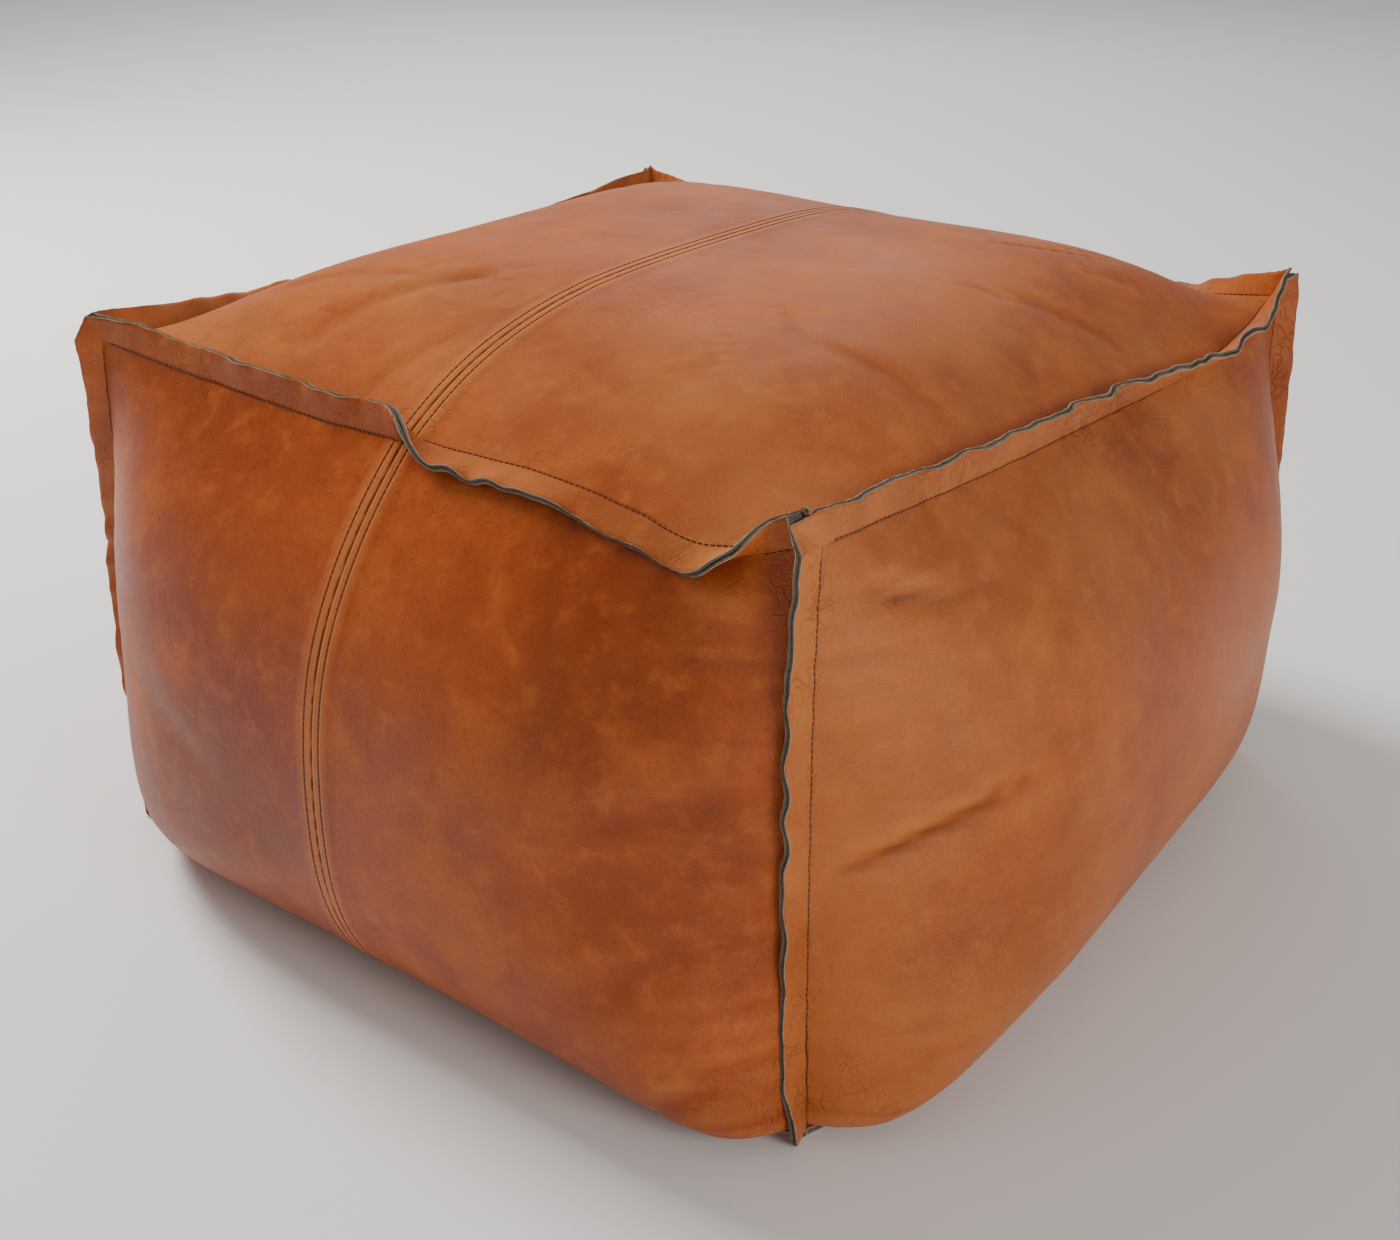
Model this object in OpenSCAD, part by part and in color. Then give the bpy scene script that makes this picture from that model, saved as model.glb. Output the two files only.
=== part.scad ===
// Square stuffed leather pouf. The cover is sewn with its raw edges outside, so every edge of the
// cube carries a standing two-ply flange. The top, front and back are each made of two halves with
// a flat topstitched seam, the base has a zip, and an inner cotton bag holds the filling.
// The origin is at the centre of the base, +Z is up, the front faces -Y.

/* [Cover] */
// Width of the square between its edge seams
pouf_w = 500; // [440:10:560]
// Height of the top edge seam above the floor
seam_h = 318; // [270:2:360]
// How far the side panels swell beyond the edge seams at mid height
side_swell = 66; // [40:2:80]
// How far the base edge bows outwards in the middle of each side
base_bow = 28; // [14:2:40]
// Rise of the domed seat above the top edge seam
seat_crown = 40; // [24:2:56]
// Thickness of the leather
leather_t = 1.6; // [1.2:0.1:2.2]
// Width of the raw-edged flange outside each edge seam
flange_w = 16; // [12:1:20]
// Width of the turned allowance inside each flat seam
allowance_w = 12; // [8:1:14]

/* [Stitching] */
// Diameter of the sewing thread
thread_d = 0.8; // [0.6:0.1:1]
// Distance from a flat seam to each topstitched row beside it
topstitch_offset = 5.5; // [4:0.5:8]
// Distance from an edge seam to the row of stitches through the flange
edge_stitch_offset = 6; // [5:0.5:8]

/* [Zip] */
// Half the length of the zip opening
zip_half = 200; // [180:5:200]
// Pitch of the zip teeth on one tape
tooth_pitch = 2.5; // [2:0.5:3]
// Length of the zip pull
pull_len = 24; // [18:1:26]
// Width of the zip pull
pull_w = 6; // [5:0.5:8]

/* [Filling] */
// Slack between the leather and the inner bag
bag_slack = 4; // [3:0.5:6]
// Thickness of the cotton bag
bag_t = 1; // [0.8:0.1:1.4]

/* [Hidden] */

half_w = pouf_w / 2;
// Half the clearance between the two plies of a seam
ply_gap = 0.15;
// Clearance between a thread and the leather it lies on
thread_gap = 0.25;
// The plane where the side panels' lower flanges lie on the base panel
base_seam_z = leather_t + ply_gap;
side_h = seam_h - base_seam_z;
// Sharpness of the swelling's fall towards the top and base seams
swell_power = 2.4;
// Lattice divisions along one half of a panel, and up a side panel
half_cells = 7;
side_rows = 12;
top_rows = 14;
// Marks a lattice line on a flange's raw edge, outside the seams at -1 and 1
RAW = 2;
root_half = sqrt(0.5);

leather_colour = [0.62, 0.31, 0.16];
thread_colour = [0.25, 0.11, 0.08];
cotton_colour = [0.86, 0.82, 0.74];
filling_colour = [0.93, 0.91, 0.87];
tape_colour = [0.22, 0.13, 0.09];
metal_colour = [0.62, 0.55, 0.38];

// --- Surfaces -------------------------------------------------------------------------------

function unit(v) = v / norm(v);
function limit(x) = max(-1, min(1, x));

// How far a side panel stands from the centre: u runs across it and v runs up it, both -1 to 1
function side_out(u, v) = half_w + base_bow * (1 - v) / 2 * (1 - u * u)
    + side_swell * (1 - pow(u, 4)) * (1 - pow(abs(v), swell_power));
function side_point(u, v) =
    [u * half_w, -side_out(u, v), base_seam_z + (v + 1) / 2 * side_h];
function top_point(u, v) =
    [u * half_w, v * half_w, seam_h + seat_crown * (1 - pow(u, 4)) * (1 - pow(v, 4))];

// Outward normals from small steps either way along each surface
step = 0.001;
function side_normal(u, v) = unit(cross(side_point(u + step, v) - side_point(u - step, v),
    side_point(u, v + step) - side_point(u, v - step)));
function top_normal(u, v) = unit(cross(top_point(u + step, v) - top_point(u - step, v),
    top_point(u, v + step) - top_point(u, v - step)));

// The vector that stands one unit off each of one, two or three planes with these unit normals
function miter(n) = len(n) == 1 ? n[0]
    : len(n) == 2 ? (n[0] + n[1]) / (1 + n[0] * n[1])
    : (cross(n[1], n[2]) + cross(n[2], n[0]) + cross(n[0], n[1])) / (n[0] * cross(n[1], n[2]));

// The plane normals that meet at a lattice point with panel normal n. side_u and side_v are the
// normals of the flanges across the u and v edges
function planes(u, v, n, side_u, side_v) =
    let (raw_u = abs(u) > 1, raw_v = abs(v) > 1)
    concat(raw_u || raw_v ? [] : [n],
        abs(u) < 1 || (raw_v && !raw_u) ? [] : [side_u],
        abs(v) < 1 || (raw_u && !raw_v) ? [] : [side_v]);

// Direction in which the base flange leaves the bowed base edge
function base_dir(u) = unit([2 * base_bow * u, -half_w, 0]);

// Where the flange carries a side panel's lattice point
function side_flange_step(u, v) =
    let (s = sign(u), raw_u = abs(u) > 1, d = base_dir(1), miter_len = (d.x - d.y) / (1 - 2 * d.x * d.y))
    raw_u && v > 1 ? flange_w * root_half * [s, -1, 1]
    : raw_u && v < -1 ? flange_w * miter_len * [s, -1, 0]
    : raw_u && v == -1 ? flange_w * [s * root_half, -root_half, 0.25]
    : raw_u ? flange_w * root_half * [s, -1, 0]
    : v > 1 ? flange_w * root_half * [0, -1, 1]
    : v < -1 ? flange_w * base_dir(u)
    : [0, 0, 0];

// Lower side of a ply: doubled where the flat seam's allowance is turned under the panel
function lower_side(x, u, v) =
    x <= allowance_w && abs(u) < 1 && abs(v) < 1 ? ply_gap - leather_t : ply_gap;

// A lattice point is [place, offset direction, lower side of the ply, diagonal choice]
function side_node(u, v, is_half) =
    let (uc = limit(u), vc = limit(v), p = side_point(uc, vc), s = sign(u))
    [p + side_flange_step(u, v),
     miter(planes(u, v, side_normal(uc, vc), root_half * [-s, -1, 0],
         v > 0 ? root_half * [0, -1, -1] : [0, 0, 1])),
     is_half ? lower_side(p.x, u, v) : ply_gap,
     u * v];
function top_node(u, v) =
    let (uc = limit(u), vc = limit(v), p = top_point(uc, vc), s = sign(u), t = sign(v),
        raw_u = abs(u) > 1 ? s : 0, raw_v = abs(v) > 1 ? t : 0)
    [p + flange_w * root_half * [raw_u, raw_v, max(abs(raw_u), abs(raw_v))],
     miter(planes(u, v, top_normal(uc, vc), root_half * [-s, 0, 1], root_half * [0, -t, 1])),
     lower_side(p.x, u, v),
     u * v];

// Lattice lines from one seam to the other, closer together near the seams
function seam_to_seam(cells) = [for (i = [0:cells]) sin(180 * i / cells - 90)];
function with_flanges(lines) = concat([-RAW], lines, [RAW]);
// Lattice lines of a half panel: the flat seam, its allowance's edge, then on to the edge seam
half_lines = concat([ply_gap, allowance_w, allowance_w + 0.5] / half_w,
    [for (i = [1:half_cells]) sin(90 * i / half_cells)], [RAW]);
side_lines = with_flanges(seam_to_seam(side_rows));
top_lines = with_flanges(seam_to_seam(top_rows));
across_lines = with_flanges(seam_to_seam(2 * half_cells));

// --- Solids from lattices -------------------------------------------------------------------

// A ply of leather over a lattice, with matching diagonals above and below
module ply(grid) {
    nu = len(grid);
    nv = len(grid[0]);
    upper = ply_gap + leather_t;
    points = concat(
        [for (column = grid) for (n = column) n[0] + n[2] * n[1]],
        [for (column = grid) for (n = column) n[0] + upper * n[1]]);
    function low(i, j) = i * nv + j;
    function high(i, j) = nu * nv + i * nv + j;
    faces = concat(
        [for (i = [0:nu - 2]) for (j = [0:nv - 2])
            let (a = high(i, j), b = high(i, j + 1), c = high(i + 1, j + 1), d = high(i + 1, j))
            each grid[i][j][3] + grid[i + 1][j + 1][3] >= 0
                ? [[a, b, c], [a, c, d]] : [[a, b, d], [b, c, d]]],
        [for (i = [0:nu - 2]) for (j = [0:nv - 2])
            let (a = low(i, j), b = low(i, j + 1), c = low(i + 1, j + 1), d = low(i + 1, j))
            each grid[i][j][3] + grid[i + 1][j + 1][3] >= 0
                ? [[a, c, b], [a, d, c]] : [[a, d, b], [b, d, c]]],
        [for (i = [0:nu - 2]) each
            [[high(i, 0), high(i + 1, 0), low(i + 1, 0)], [high(i, 0), low(i + 1, 0), low(i, 0)]]],
        [for (i = [0:nu - 2]) let (j = nv - 1) each
            [[high(i + 1, j), high(i, j), low(i, j)], [high(i + 1, j), low(i, j), low(i + 1, j)]]],
        [for (j = [0:nv - 2]) each
            [[high(0, j + 1), high(0, j), low(0, j)], [high(0, j + 1), low(0, j), low(0, j + 1)]]],
        [for (j = [0:nv - 2]) let (i = nu - 1) each
            [[high(i, j), high(i, j + 1), low(i, j + 1)], [high(i, j), low(i, j + 1), low(i, j)]]]);
    polyhedron(points, faces, convexity = 4);
}

// A four-sided thread through stations, each [place, unit direction away from the leather]
module thread(stations) {
    n = len(stations);
    r = thread_d / 2;
    points = [for (i = [0:n - 1])
        let (c = stations[i][0], up = stations[i][1],
            along = unit(stations[min(i + 1, n - 1)][0] - stations[max(i - 1, 0)][0]),
            side = cross(along, up))
        each [c + r * up, c + r * side, c - r * up, c - r * side]];
    faces = concat([[0, 1, 2, 3]],
        [for (i = [0:n - 2]) for (k = [0:3]) let (a = 4 * i + k, b = 4 * i + (k + 1) % 4)
            each [[a, a + 4, b + 4], [a, b + 4, b]]],
        [[for (k = [3:-1:0]) 4 * (n - 1) + k]]);
    polyhedron(points, faces, convexity = 2);
}

// Height of a thread's centre line above the plane between the two plies of a flange
thread_lift = ply_gap + leather_t + thread_gap + thread_d / 2;

// --- Side and top panels --------------------------------------------------------------------

module half_side() {
    color(leather_colour)
        ply([for (u = half_lines) [for (v = side_lines) side_node(u, v, true)]]);
}

module whole_side() {
    color(leather_colour)
        ply([for (u = across_lines) [for (v = side_lines) side_node(u, v, false)]]);
}

module half_top() {
    color(leather_colour)
        ply([for (u = half_lines) [for (v = top_lines) top_node(u, v)]]);
}

module top_panel_right() half_top();
module top_panel_left() mirror([1, 0, 0]) half_top();
module front_panel_right() half_side();
module front_panel_left() mirror([1, 0, 0]) half_side();
module back_panel_left() rotate([0, 0, 180]) half_side();
module back_panel_right() rotate([0, 0, 180]) mirror([1, 0, 0]) half_side();
module right_panel() rotate([0, 0, 90]) whole_side();
module left_panel() rotate([0, 0, -90]) whole_side();

// --- Base panels ----------------------------------------------------------------------------

// The zip lies in a shallow recess: the leather turns up at both sides of it to the tapes
lip_foot_y = 14.5;
lip_edge_y = 7;
lip_rise = 4;
recess_y = 14;
allowance_end = half_w + base_bow - 10;

function turn(p, angle) =
    [p.x * cos(angle) - p.y * sin(angle), p.x * sin(angle) + p.y * cos(angle)];
function base_edge(u) = let (p = side_point(limit(u), -1) + side_flange_step(u, -RAW)) [p.x, p.y];

// Outline of the front half of the base, anticlockwise, ending at the middle of each side
base_lines = seam_to_seam(2 * half_cells);
base_outline = concat(
    [for (u = base_lines) if (u > 0.01) turn(base_edge(u), -90)],
    [base_edge(-RAW)],
    [for (u = base_lines) base_edge(u)],
    [base_edge(RAW)],
    [for (u = base_lines) if (u < -0.01) turn(base_edge(u), 90)]);
base_side_x = -base_edge(0).y;

module base_half() {
    color(leather_colour) {
        linear_extrude(leather_t)
            polygon(concat([[-base_side_x, -ply_gap]], base_outline, [[base_side_x, -ply_gap],
                [zip_half, -ply_gap], [zip_half, -recess_y],
                [-zip_half, -recess_y], [-zip_half, -ply_gap]]));
        // The turned-up lip beside the zip
        translate([-zip_half, 0, 0]) rotate([90, 0, 90]) linear_extrude(2 * zip_half)
            polygon([[-lip_foot_y, 0], [-lip_edge_y, lip_rise],
                [-lip_edge_y, lip_rise + leather_t], [-lip_foot_y, leather_t]]);
        // The turned allowance of the plain seam beyond each end of the zip
        for (x = [zip_half, -allowance_end])
            translate([x, -allowance_w, leather_t / 2])
                cube([allowance_end - zip_half, allowance_w - ply_gap, leather_t * 1.5]);
    }
}

module base_panel_front() base_half();
module base_panel_back() mirror([0, 1, 0]) base_half();

// --- Stitching ------------------------------------------------------------------------------

// Threads stop this far short of the corners, as a share of the panel's half width
thread_end = 0.955;
// Stations along a curved thread, on the panel's own lattice lines
side_stations = [for (v = seam_to_seam(side_rows)) if (abs(v) < 0.98) v];
top_stations = [for (v = seam_to_seam(top_rows)) if (abs(v) < 0.98) v];
edge_stations = [for (u = seam_to_seam(2 * half_cells)) if (abs(u) < 0.98) u];

module side_topstitch() {
    u = topstitch_offset / half_w;
    for (s = [-1, 1]) color(thread_colour)
        thread([for (v = side_stations)
            [side_point(s * u, v) + thread_lift * side_normal(s * u, v), side_normal(s * u, v)]]);
}

module top_seam_stitching() {
    u = topstitch_offset / half_w;
    for (s = [-1, 1]) color(thread_colour)
        thread([for (v = top_stations)
            [top_point(s * u, v) + thread_lift * top_normal(s * u, v), top_normal(s * u, v)]]);
}

module front_seam_stitching() side_topstitch();
module back_seam_stitching() rotate([0, 0, 180]) side_topstitch();

// One straight row through a flange, seen on both of its faces
module flange_row(from, to, face) {
    for (s = [-1, 1]) color(thread_colour)
        thread([for (p = [from, to]) [p + s * thread_lift * face, s * face]]);
}

module top_edge_stitching() {
    reach = thread_end * half_w;
    out = half_w + edge_stitch_offset * root_half;
    z = seam_h + edge_stitch_offset * root_half;
    for (a = [0:90:270]) rotate([0, 0, a])
        flange_row([-reach, -out, z], [reach, -out, z], root_half * [0, -1, -1]);
}

module corner_stitching() {
    out = half_w + edge_stitch_offset * root_half;
    for (a = [0:90:270]) rotate([0, 0, a])
        flange_row([out, -out, base_seam_z + flange_w], [out, -out, seam_h - flange_w / 2],
            root_half * [-1, -1, 0]);
}

module base_edge_stitching() {
    lift = [0, 0, thread_lift];
    for (a = [0:90:270]) rotate([0, 0, a]) color(thread_colour)
        thread([for (u = edge_stations)
            [side_point(u, -1) + edge_stitch_offset * base_dir(u) + lift, [0, 0, 1]]]);
}

// --- Inner bag and filling ------------------------------------------------------------------

bag_sides = 10;
bag_rows = 9;
cap_rings = 5;
// The bag's underside lies on the base panel and arches over the zip
bag_floor = leather_t + 2.3;
zip_arch = 6.8;
zip_arch_y = 26;
mouth_share = 0.12;

// Ring points round the four sides at height v, drawn in by depth d and scaled by k
function bag_outline(v, d) = [for (a = [0:90:270]) for (i = [0:bag_sides - 1])
    let (u = 2 * i / bag_sides - 1, p = side_point(u, v),
        q = [p.x * (half_w - d) / half_w, p.y + d])
    turn(q, a)];
function bag_top_z(p, d) = top_point(limit(p.x / half_w), limit(p.y / half_w)).z - d;
function bag_floor_z(y, d) = bag_floor + d - bag_slack + zip_arch * exp(-pow(y / zip_arch_y, 2));

// Rings from the mouth in the underside, out to the foot, up the sides and in to the top
function bag_rings(d) = concat(
    [for (i = [0:cap_rings - 1]) let (k = mouth_share + (1 - mouth_share) * i / cap_rings)
        [for (p = bag_outline(-1, d)) [k * p.x, k * p.y, bag_floor_z(k * p.y, d)]]],
    [for (i = [0:bag_rows - 1])
        let (v = sin(180 * i / (bag_rows - 1) - 90), low_z = bag_floor_z(half_w, d),
            z = low_z + (seam_h - d - low_z) * (v + 1) / 2)
        [for (p = bag_outline(v, d)) [p.x, p.y, max(z, i == 0 ? bag_floor_z(p.y, d) : z)]]],
    [for (i = [1:cap_rings - 1]) let (k = cos(90 * i / cap_rings))
        [for (p = bag_outline(1, d)) [k * p.x, k * p.y, bag_top_z(k * p, d)]]]);

// Faces between neighbouring rings of m points, the first ring starting at point number from
function ring_faces(from, rings, m, inside) = [for (r = [0:rings - 2]) for (k = [0:m - 1])
    let (a = from + r * m + k, b = from + r * m + (k + 1) % m)
    each inside ? [[a, b, b + m], [a, b + m, a + m]] : [[a, b + m, b], [a, a + m, b + m]]];
function cap_faces(ring_from, apex, m, inside) = [for (k = [0:m - 1])
    let (a = ring_from + k, b = ring_from + (k + 1) % m)
    inside ? [a, b, apex] : [b, a, apex]];

module inner_bag() {
    m = 4 * bag_sides;
    outer = bag_rings(bag_slack);
    inner = bag_rings(bag_slack + bag_t);
    n = len(outer);
    apex = [[0, 0, bag_top_z([0, 0], bag_slack)], [0, 0, bag_top_z([0, 0], bag_slack + bag_t)]];
    points = concat([for (r = outer) each r], [for (r = inner) each r], apex);
    color(cotton_colour) polyhedron(points, concat(
        ring_faces(0, n, m, false),
        ring_faces(n * m, n, m, true),
        cap_faces((n - 1) * m, 2 * n * m, m, false),
        cap_faces((2 * n - 1) * m, 2 * n * m + 1, m, true),
        [for (k = [0:m - 1]) let (l = (k + 1) % m, i = n * m)
            each [[k, l, l + i], [k, l + i, k + i]]]), convexity = 6);
}

module filling() {
    m = 4 * bag_sides;
    d = bag_slack + bag_t + 0.6;
    rings = bag_rings(d);
    n = len(rings);
    points = concat([for (r = rings) each r],
        [[0, 0, bag_floor_z(0, d)], [0, 0, bag_top_z([0, 0], d)]]);
    color(filling_colour) polyhedron(points, concat(
        ring_faces(0, n, m, false),
        cap_faces(0, n * m, m, true),
        cap_faces((n - 1) * m, n * m + 1, m, false)), convexity = 4);
}

// --- Zip ------------------------------------------------------------------------------------

zip_z = lip_rise + leather_t + 0.4;
tape_t = 0.6;
tape_y = 16;
tape_end = zip_half - 4;
tooth_t = 2.4;
tooth_reach = 1.1;
spine_y = 3;
spine_inner_y = 1.4;
// The slider stands here with the zip closed, its nose towards the top stops at +X
slider_x = zip_half - 28;
slider_len = 11;
plate_t = 1;
channel_h = tooth_t + 0.8;
slider_low_z = zip_z - channel_h / 2 - plate_t;
bottom_stop_x = -zip_half + 20;
// Hinge line of the pull, under the slider's bail
hinge_z = slider_low_z - 1;
bail_t = 0.8;
pin_r = 0.55;

module zip_tape_back() {
    color(tape_colour)
        translate([-tape_end, spine_y + 0.1, zip_z - tape_t / 2])
            cube([2 * tape_end, tape_y - spine_y - 0.1, tape_t]);
}
module zip_tape_front() mirror([0, 1, 0]) zip_tape_back();

// One row of teeth on its spine, from the bottom stop to the slider's post
module tooth_row(shift) {
    first = bottom_stop_x + 3;
    count = floor((slider_x + 1.5 - first - shift) / tooth_pitch);
    width = tooth_pitch * 0.44;
    color(metal_colour) translate([0, 0, zip_z - tooth_t / 2]) linear_extrude(tooth_t)
        polygon(concat([[first, spine_y]],
            [for (i = [0:count - 1]) let (x = first + shift + i * tooth_pitch)
                each [[x, spine_inner_y], [x, -tooth_reach],
                    [x + width, -tooth_reach], [x + width, spine_inner_y]]],
            [[first + shift + count * tooth_pitch, spine_inner_y],
             [first + shift + count * tooth_pitch, spine_y]]));
}
module zip_teeth_back() tooth_row(0.1);
module zip_teeth_front() mirror([0, 1, 0]) tooth_row(0.1 + tooth_pitch / 2);

module zip_top_stops() {
    for (s = [0, 1]) mirror([0, s, 0]) color(metal_colour)
        translate([slider_x + slider_len / 2 + 3, 0.8, zip_z - tooth_t / 2])
            cube([3, spine_y - 0.8, tooth_t]);
}

module zip_bottom_stop() {
    color(metal_colour)
        translate([bottom_stop_x - 4, -spine_y, zip_z - tooth_t / 2 - 0.3])
            cube([4, 2 * spine_y, tooth_t + 0.6]);
}

module zip_slider() {
    nose = slider_len / 2;
    plate = [[-nose, -3.6], [1.5, -4.7], [nose - 1, -4.7], [nose, -3.2],
        [nose, 3.2], [nose - 1, 4.7], [1.5, 4.7], [-nose, 3.6]];
    color(metal_colour) translate([slider_x, 0, 0]) {
        for (z = [slider_low_z, zip_z + channel_h / 2])
            translate([0, 0, z]) linear_extrude(plate_t) polygon(plate);
        // The wedge between the plates that parts the teeth
        translate([2.2, 0, slider_low_z]) linear_extrude(channel_h + 2 * plate_t)
            polygon([[0, 0], [1.4, -1.2], [nose - 2.2, -0.9], [nose - 2.2, 0.9], [1.4, 1.2]]);
        // Guide walls either side, open in the middle for the tapes
        for (s = [0, 1]) mirror([0, s, 0])
            for (z = [slider_low_z + plate_t - 0.2, zip_z + tape_t / 2 + 0.3])
                translate([-3.5, 3.55, z])
                    cube([6.5, 0.7, channel_h / 2 - tape_t / 2 - 0.1]);
        // The bail under the lower plate that holds the pull
        for (x = [-4.2, 3.2])
            translate([x, -0.8, hinge_z - 1.9])
                cube([1, 1.6, slider_low_z - hinge_z + 2.1]);
        translate([-4.2, -0.8, hinge_z - 1.9]) cube([8.4, 1.6, bail_t]);
    }
}

module zip_pull() {
    window = 5.2;
    arm_y = 1.3;
    color(metal_colour) translate([slider_x, 0, hinge_z]) {
        rotate([90, 0, 0])
            cylinder(h = pull_w * 0.8, r = pin_r, center = true, $fn = 32);
        translate([0, 0, -pin_r]) linear_extrude(2 * pin_r) difference() {
            polygon([[0, -pull_w * 0.4], [0, pull_w * 0.4], [-window - 2, pull_w / 2],
                [2 - pull_len, pull_w / 2], [-pull_len, pull_w / 2 - 2],
                [-pull_len, 2 - pull_w / 2], [2 - pull_len, -pull_w / 2],
                [-window - 2, -pull_w / 2]]);
            translate([-window, -arm_y]) square([window + 1, 2 * arm_y]);
            translate([4 - pull_len, 0]) circle(r = 1.2, $fn = 24);
        }
    }
}

// The rows that hold the zip's tapes to the lips, on the leather and on the tape
module zip_stitching() {
    slope = atan2(lip_rise, lip_foot_y - lip_edge_y);
    y = (lip_foot_y + lip_edge_y) / 2;
    z = lip_rise / 2;
    clear = thread_gap + thread_d / 2;
    for (s = [-1, 1]) color(thread_colour) {
        translate([-tape_end + 4, s * (y - clear * sin(slope)), z - clear * cos(slope)])
            rotate([0, 90, 0]) cylinder(h = 2 * tape_end - 8, d = thread_d, $fn = 8);
        translate([-tape_end + 4, s * y, zip_z + tape_t / 2 + clear])
            rotate([0, 90, 0]) cylinder(h = 2 * tape_end - 8, d = thread_d, $fn = 8);
    }
}

top_panel_left();
top_panel_right();
front_panel_left();
front_panel_right();
back_panel_left();
back_panel_right();
left_panel();
right_panel();
base_panel_front();
base_panel_back();
top_seam_stitching();
front_seam_stitching();
back_seam_stitching();
top_edge_stitching();
corner_stitching();
base_edge_stitching();
zip_stitching();
inner_bag();
filling();
zip_tape_front();
zip_tape_back();
zip_teeth_front();
zip_teeth_back();
zip_top_stops();
zip_bottom_stop();
zip_slider();
zip_pull();
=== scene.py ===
import math
import bpy
import numpy as np
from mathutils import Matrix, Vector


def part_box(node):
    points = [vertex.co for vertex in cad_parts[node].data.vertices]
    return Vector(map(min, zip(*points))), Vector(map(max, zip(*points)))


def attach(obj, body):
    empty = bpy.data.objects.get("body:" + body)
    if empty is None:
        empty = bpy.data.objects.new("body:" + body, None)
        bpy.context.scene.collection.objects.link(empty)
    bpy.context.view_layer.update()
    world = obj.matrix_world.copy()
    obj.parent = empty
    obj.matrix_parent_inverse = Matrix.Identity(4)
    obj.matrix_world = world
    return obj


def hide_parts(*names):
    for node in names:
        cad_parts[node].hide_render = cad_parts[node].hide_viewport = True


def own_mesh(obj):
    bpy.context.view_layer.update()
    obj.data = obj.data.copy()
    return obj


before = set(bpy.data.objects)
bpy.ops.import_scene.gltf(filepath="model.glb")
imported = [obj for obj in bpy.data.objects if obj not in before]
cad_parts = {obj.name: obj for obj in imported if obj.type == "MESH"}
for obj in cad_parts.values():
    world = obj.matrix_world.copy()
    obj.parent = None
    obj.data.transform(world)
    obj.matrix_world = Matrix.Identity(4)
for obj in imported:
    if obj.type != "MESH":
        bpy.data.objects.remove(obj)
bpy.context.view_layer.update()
bpy.ops.object.select_all(action="DESELECT")

# ---------------------------------------------------------------------------------------------
# The studio: a pale floor, a broad soft light from the left, weaker ones from the window behind
# and from the right, one over the far floor, and the camera, which looks down on the pouf's front
# right corner.
# ---------------------------------------------------------------------------------------------
CAMERA_PLACE = (0.657, -0.860, 0.629)
CAMERA_AZIMUTH = math.radians(37.7)
CAMERA_ELEVATION = math.radians(25.3)

view = bpy.data.cameras.new("camera")
view.lens = 47.6
view.sensor_width = 36
camera = bpy.data.objects.new("camera", view)
camera.location = CAMERA_PLACE
camera.rotation_euler = (math.pi / 2 - CAMERA_ELEVATION, 0, CAMERA_AZIMUTH)
bpy.context.collection.objects.link(camera)
bpy.context.scene.camera = camera


def soft_light(name, place, aim, size, power, mirrored=True):
    """A square area light at place that shines towards aim, and may be mirrored in the gloss."""
    lamp = bpy.data.lights.new(name, "AREA")
    lamp.shape = "SQUARE"
    lamp.size = size
    lamp.energy = power
    holder = bpy.data.objects.new(name, lamp)
    holder.location = place
    away = np.array(place) - np.array(aim)
    turn = math.atan2(away[0], -away[1])
    holder.rotation_euler = (math.acos(away[2] / np.linalg.norm(away)), 0, turn)
    holder.visible_glossy = mirrored
    bpy.context.collection.objects.link(holder)


soft_light("key_light", (-2.1, -0.05, 2.1), (0, 0, 0.2), 1.0, 114, mirrored=False)
soft_light("window_light", (-1.9, 2.9, 1.7), (0, 0, 0.3), 1.7, 8)
soft_light("right_light", (2.2, -0.7, 0.95), (0, 0, 0.2), 0.9, 25)
soft_light("floor_light", (-2.6, 2.4, 2.4), (-2.6, 2.5, 0), 1.5, 28, mirrored=False)

world = bpy.data.worlds.new("studio")
world.use_nodes = True
world.node_tree.nodes["Background"].inputs["Color"].default_value = (1.0, 0.975, 0.95, 1)
world.node_tree.nodes["Background"].inputs["Strength"].default_value = 0.39
bpy.context.scene.world = world

bpy.ops.mesh.primitive_plane_add(size=14, location=(0, 0, -0.0004))
floor = bpy.context.object
floor.name = "floor"
paint = bpy.data.materials.new("floor_paint")
paint.use_nodes = True
paint.node_tree.nodes["Principled BSDF"].inputs["Base Color"].default_value = (0.86, 0.835, 0.81, 1)
paint.node_tree.nodes["Principled BSDF"].inputs["Roughness"].default_value = 0.8
# Seen from below the floor is clear, as it is to light on the base just above it, so that the
# underside of the pouf can be looked at
clear = paint.node_tree.nodes.new("ShaderNodeBsdfTransparent")
behind = paint.node_tree.nodes.new("ShaderNodeNewGeometry")
path = paint.node_tree.nodes.new("ShaderNodeLightPath")
close = paint.node_tree.nodes.new("ShaderNodeMath")
close.operation = "LESS_THAN"
close.inputs[1].default_value = 0.01
either = paint.node_tree.nodes.new("ShaderNodeMath")
either.operation = "MAXIMUM"
chosen = paint.node_tree.nodes.new("ShaderNodeMixShader")
paint.node_tree.links.new(path.outputs["Ray Length"], close.inputs[0])
paint.node_tree.links.new(close.outputs[0], either.inputs[0])
paint.node_tree.links.new(behind.outputs["Backfacing"], either.inputs[1])
paint.node_tree.links.new(either.outputs[0], chosen.inputs[0])
paint.node_tree.links.new(paint.node_tree.nodes["Principled BSDF"].outputs[0], chosen.inputs[1])
paint.node_tree.links.new(clear.outputs[0], chosen.inputs[2])
paint.node_tree.links.new(chosen.outputs[0], paint.node_tree.nodes["Material Output"].inputs[0])
floor.data.materials.append(paint)

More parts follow.
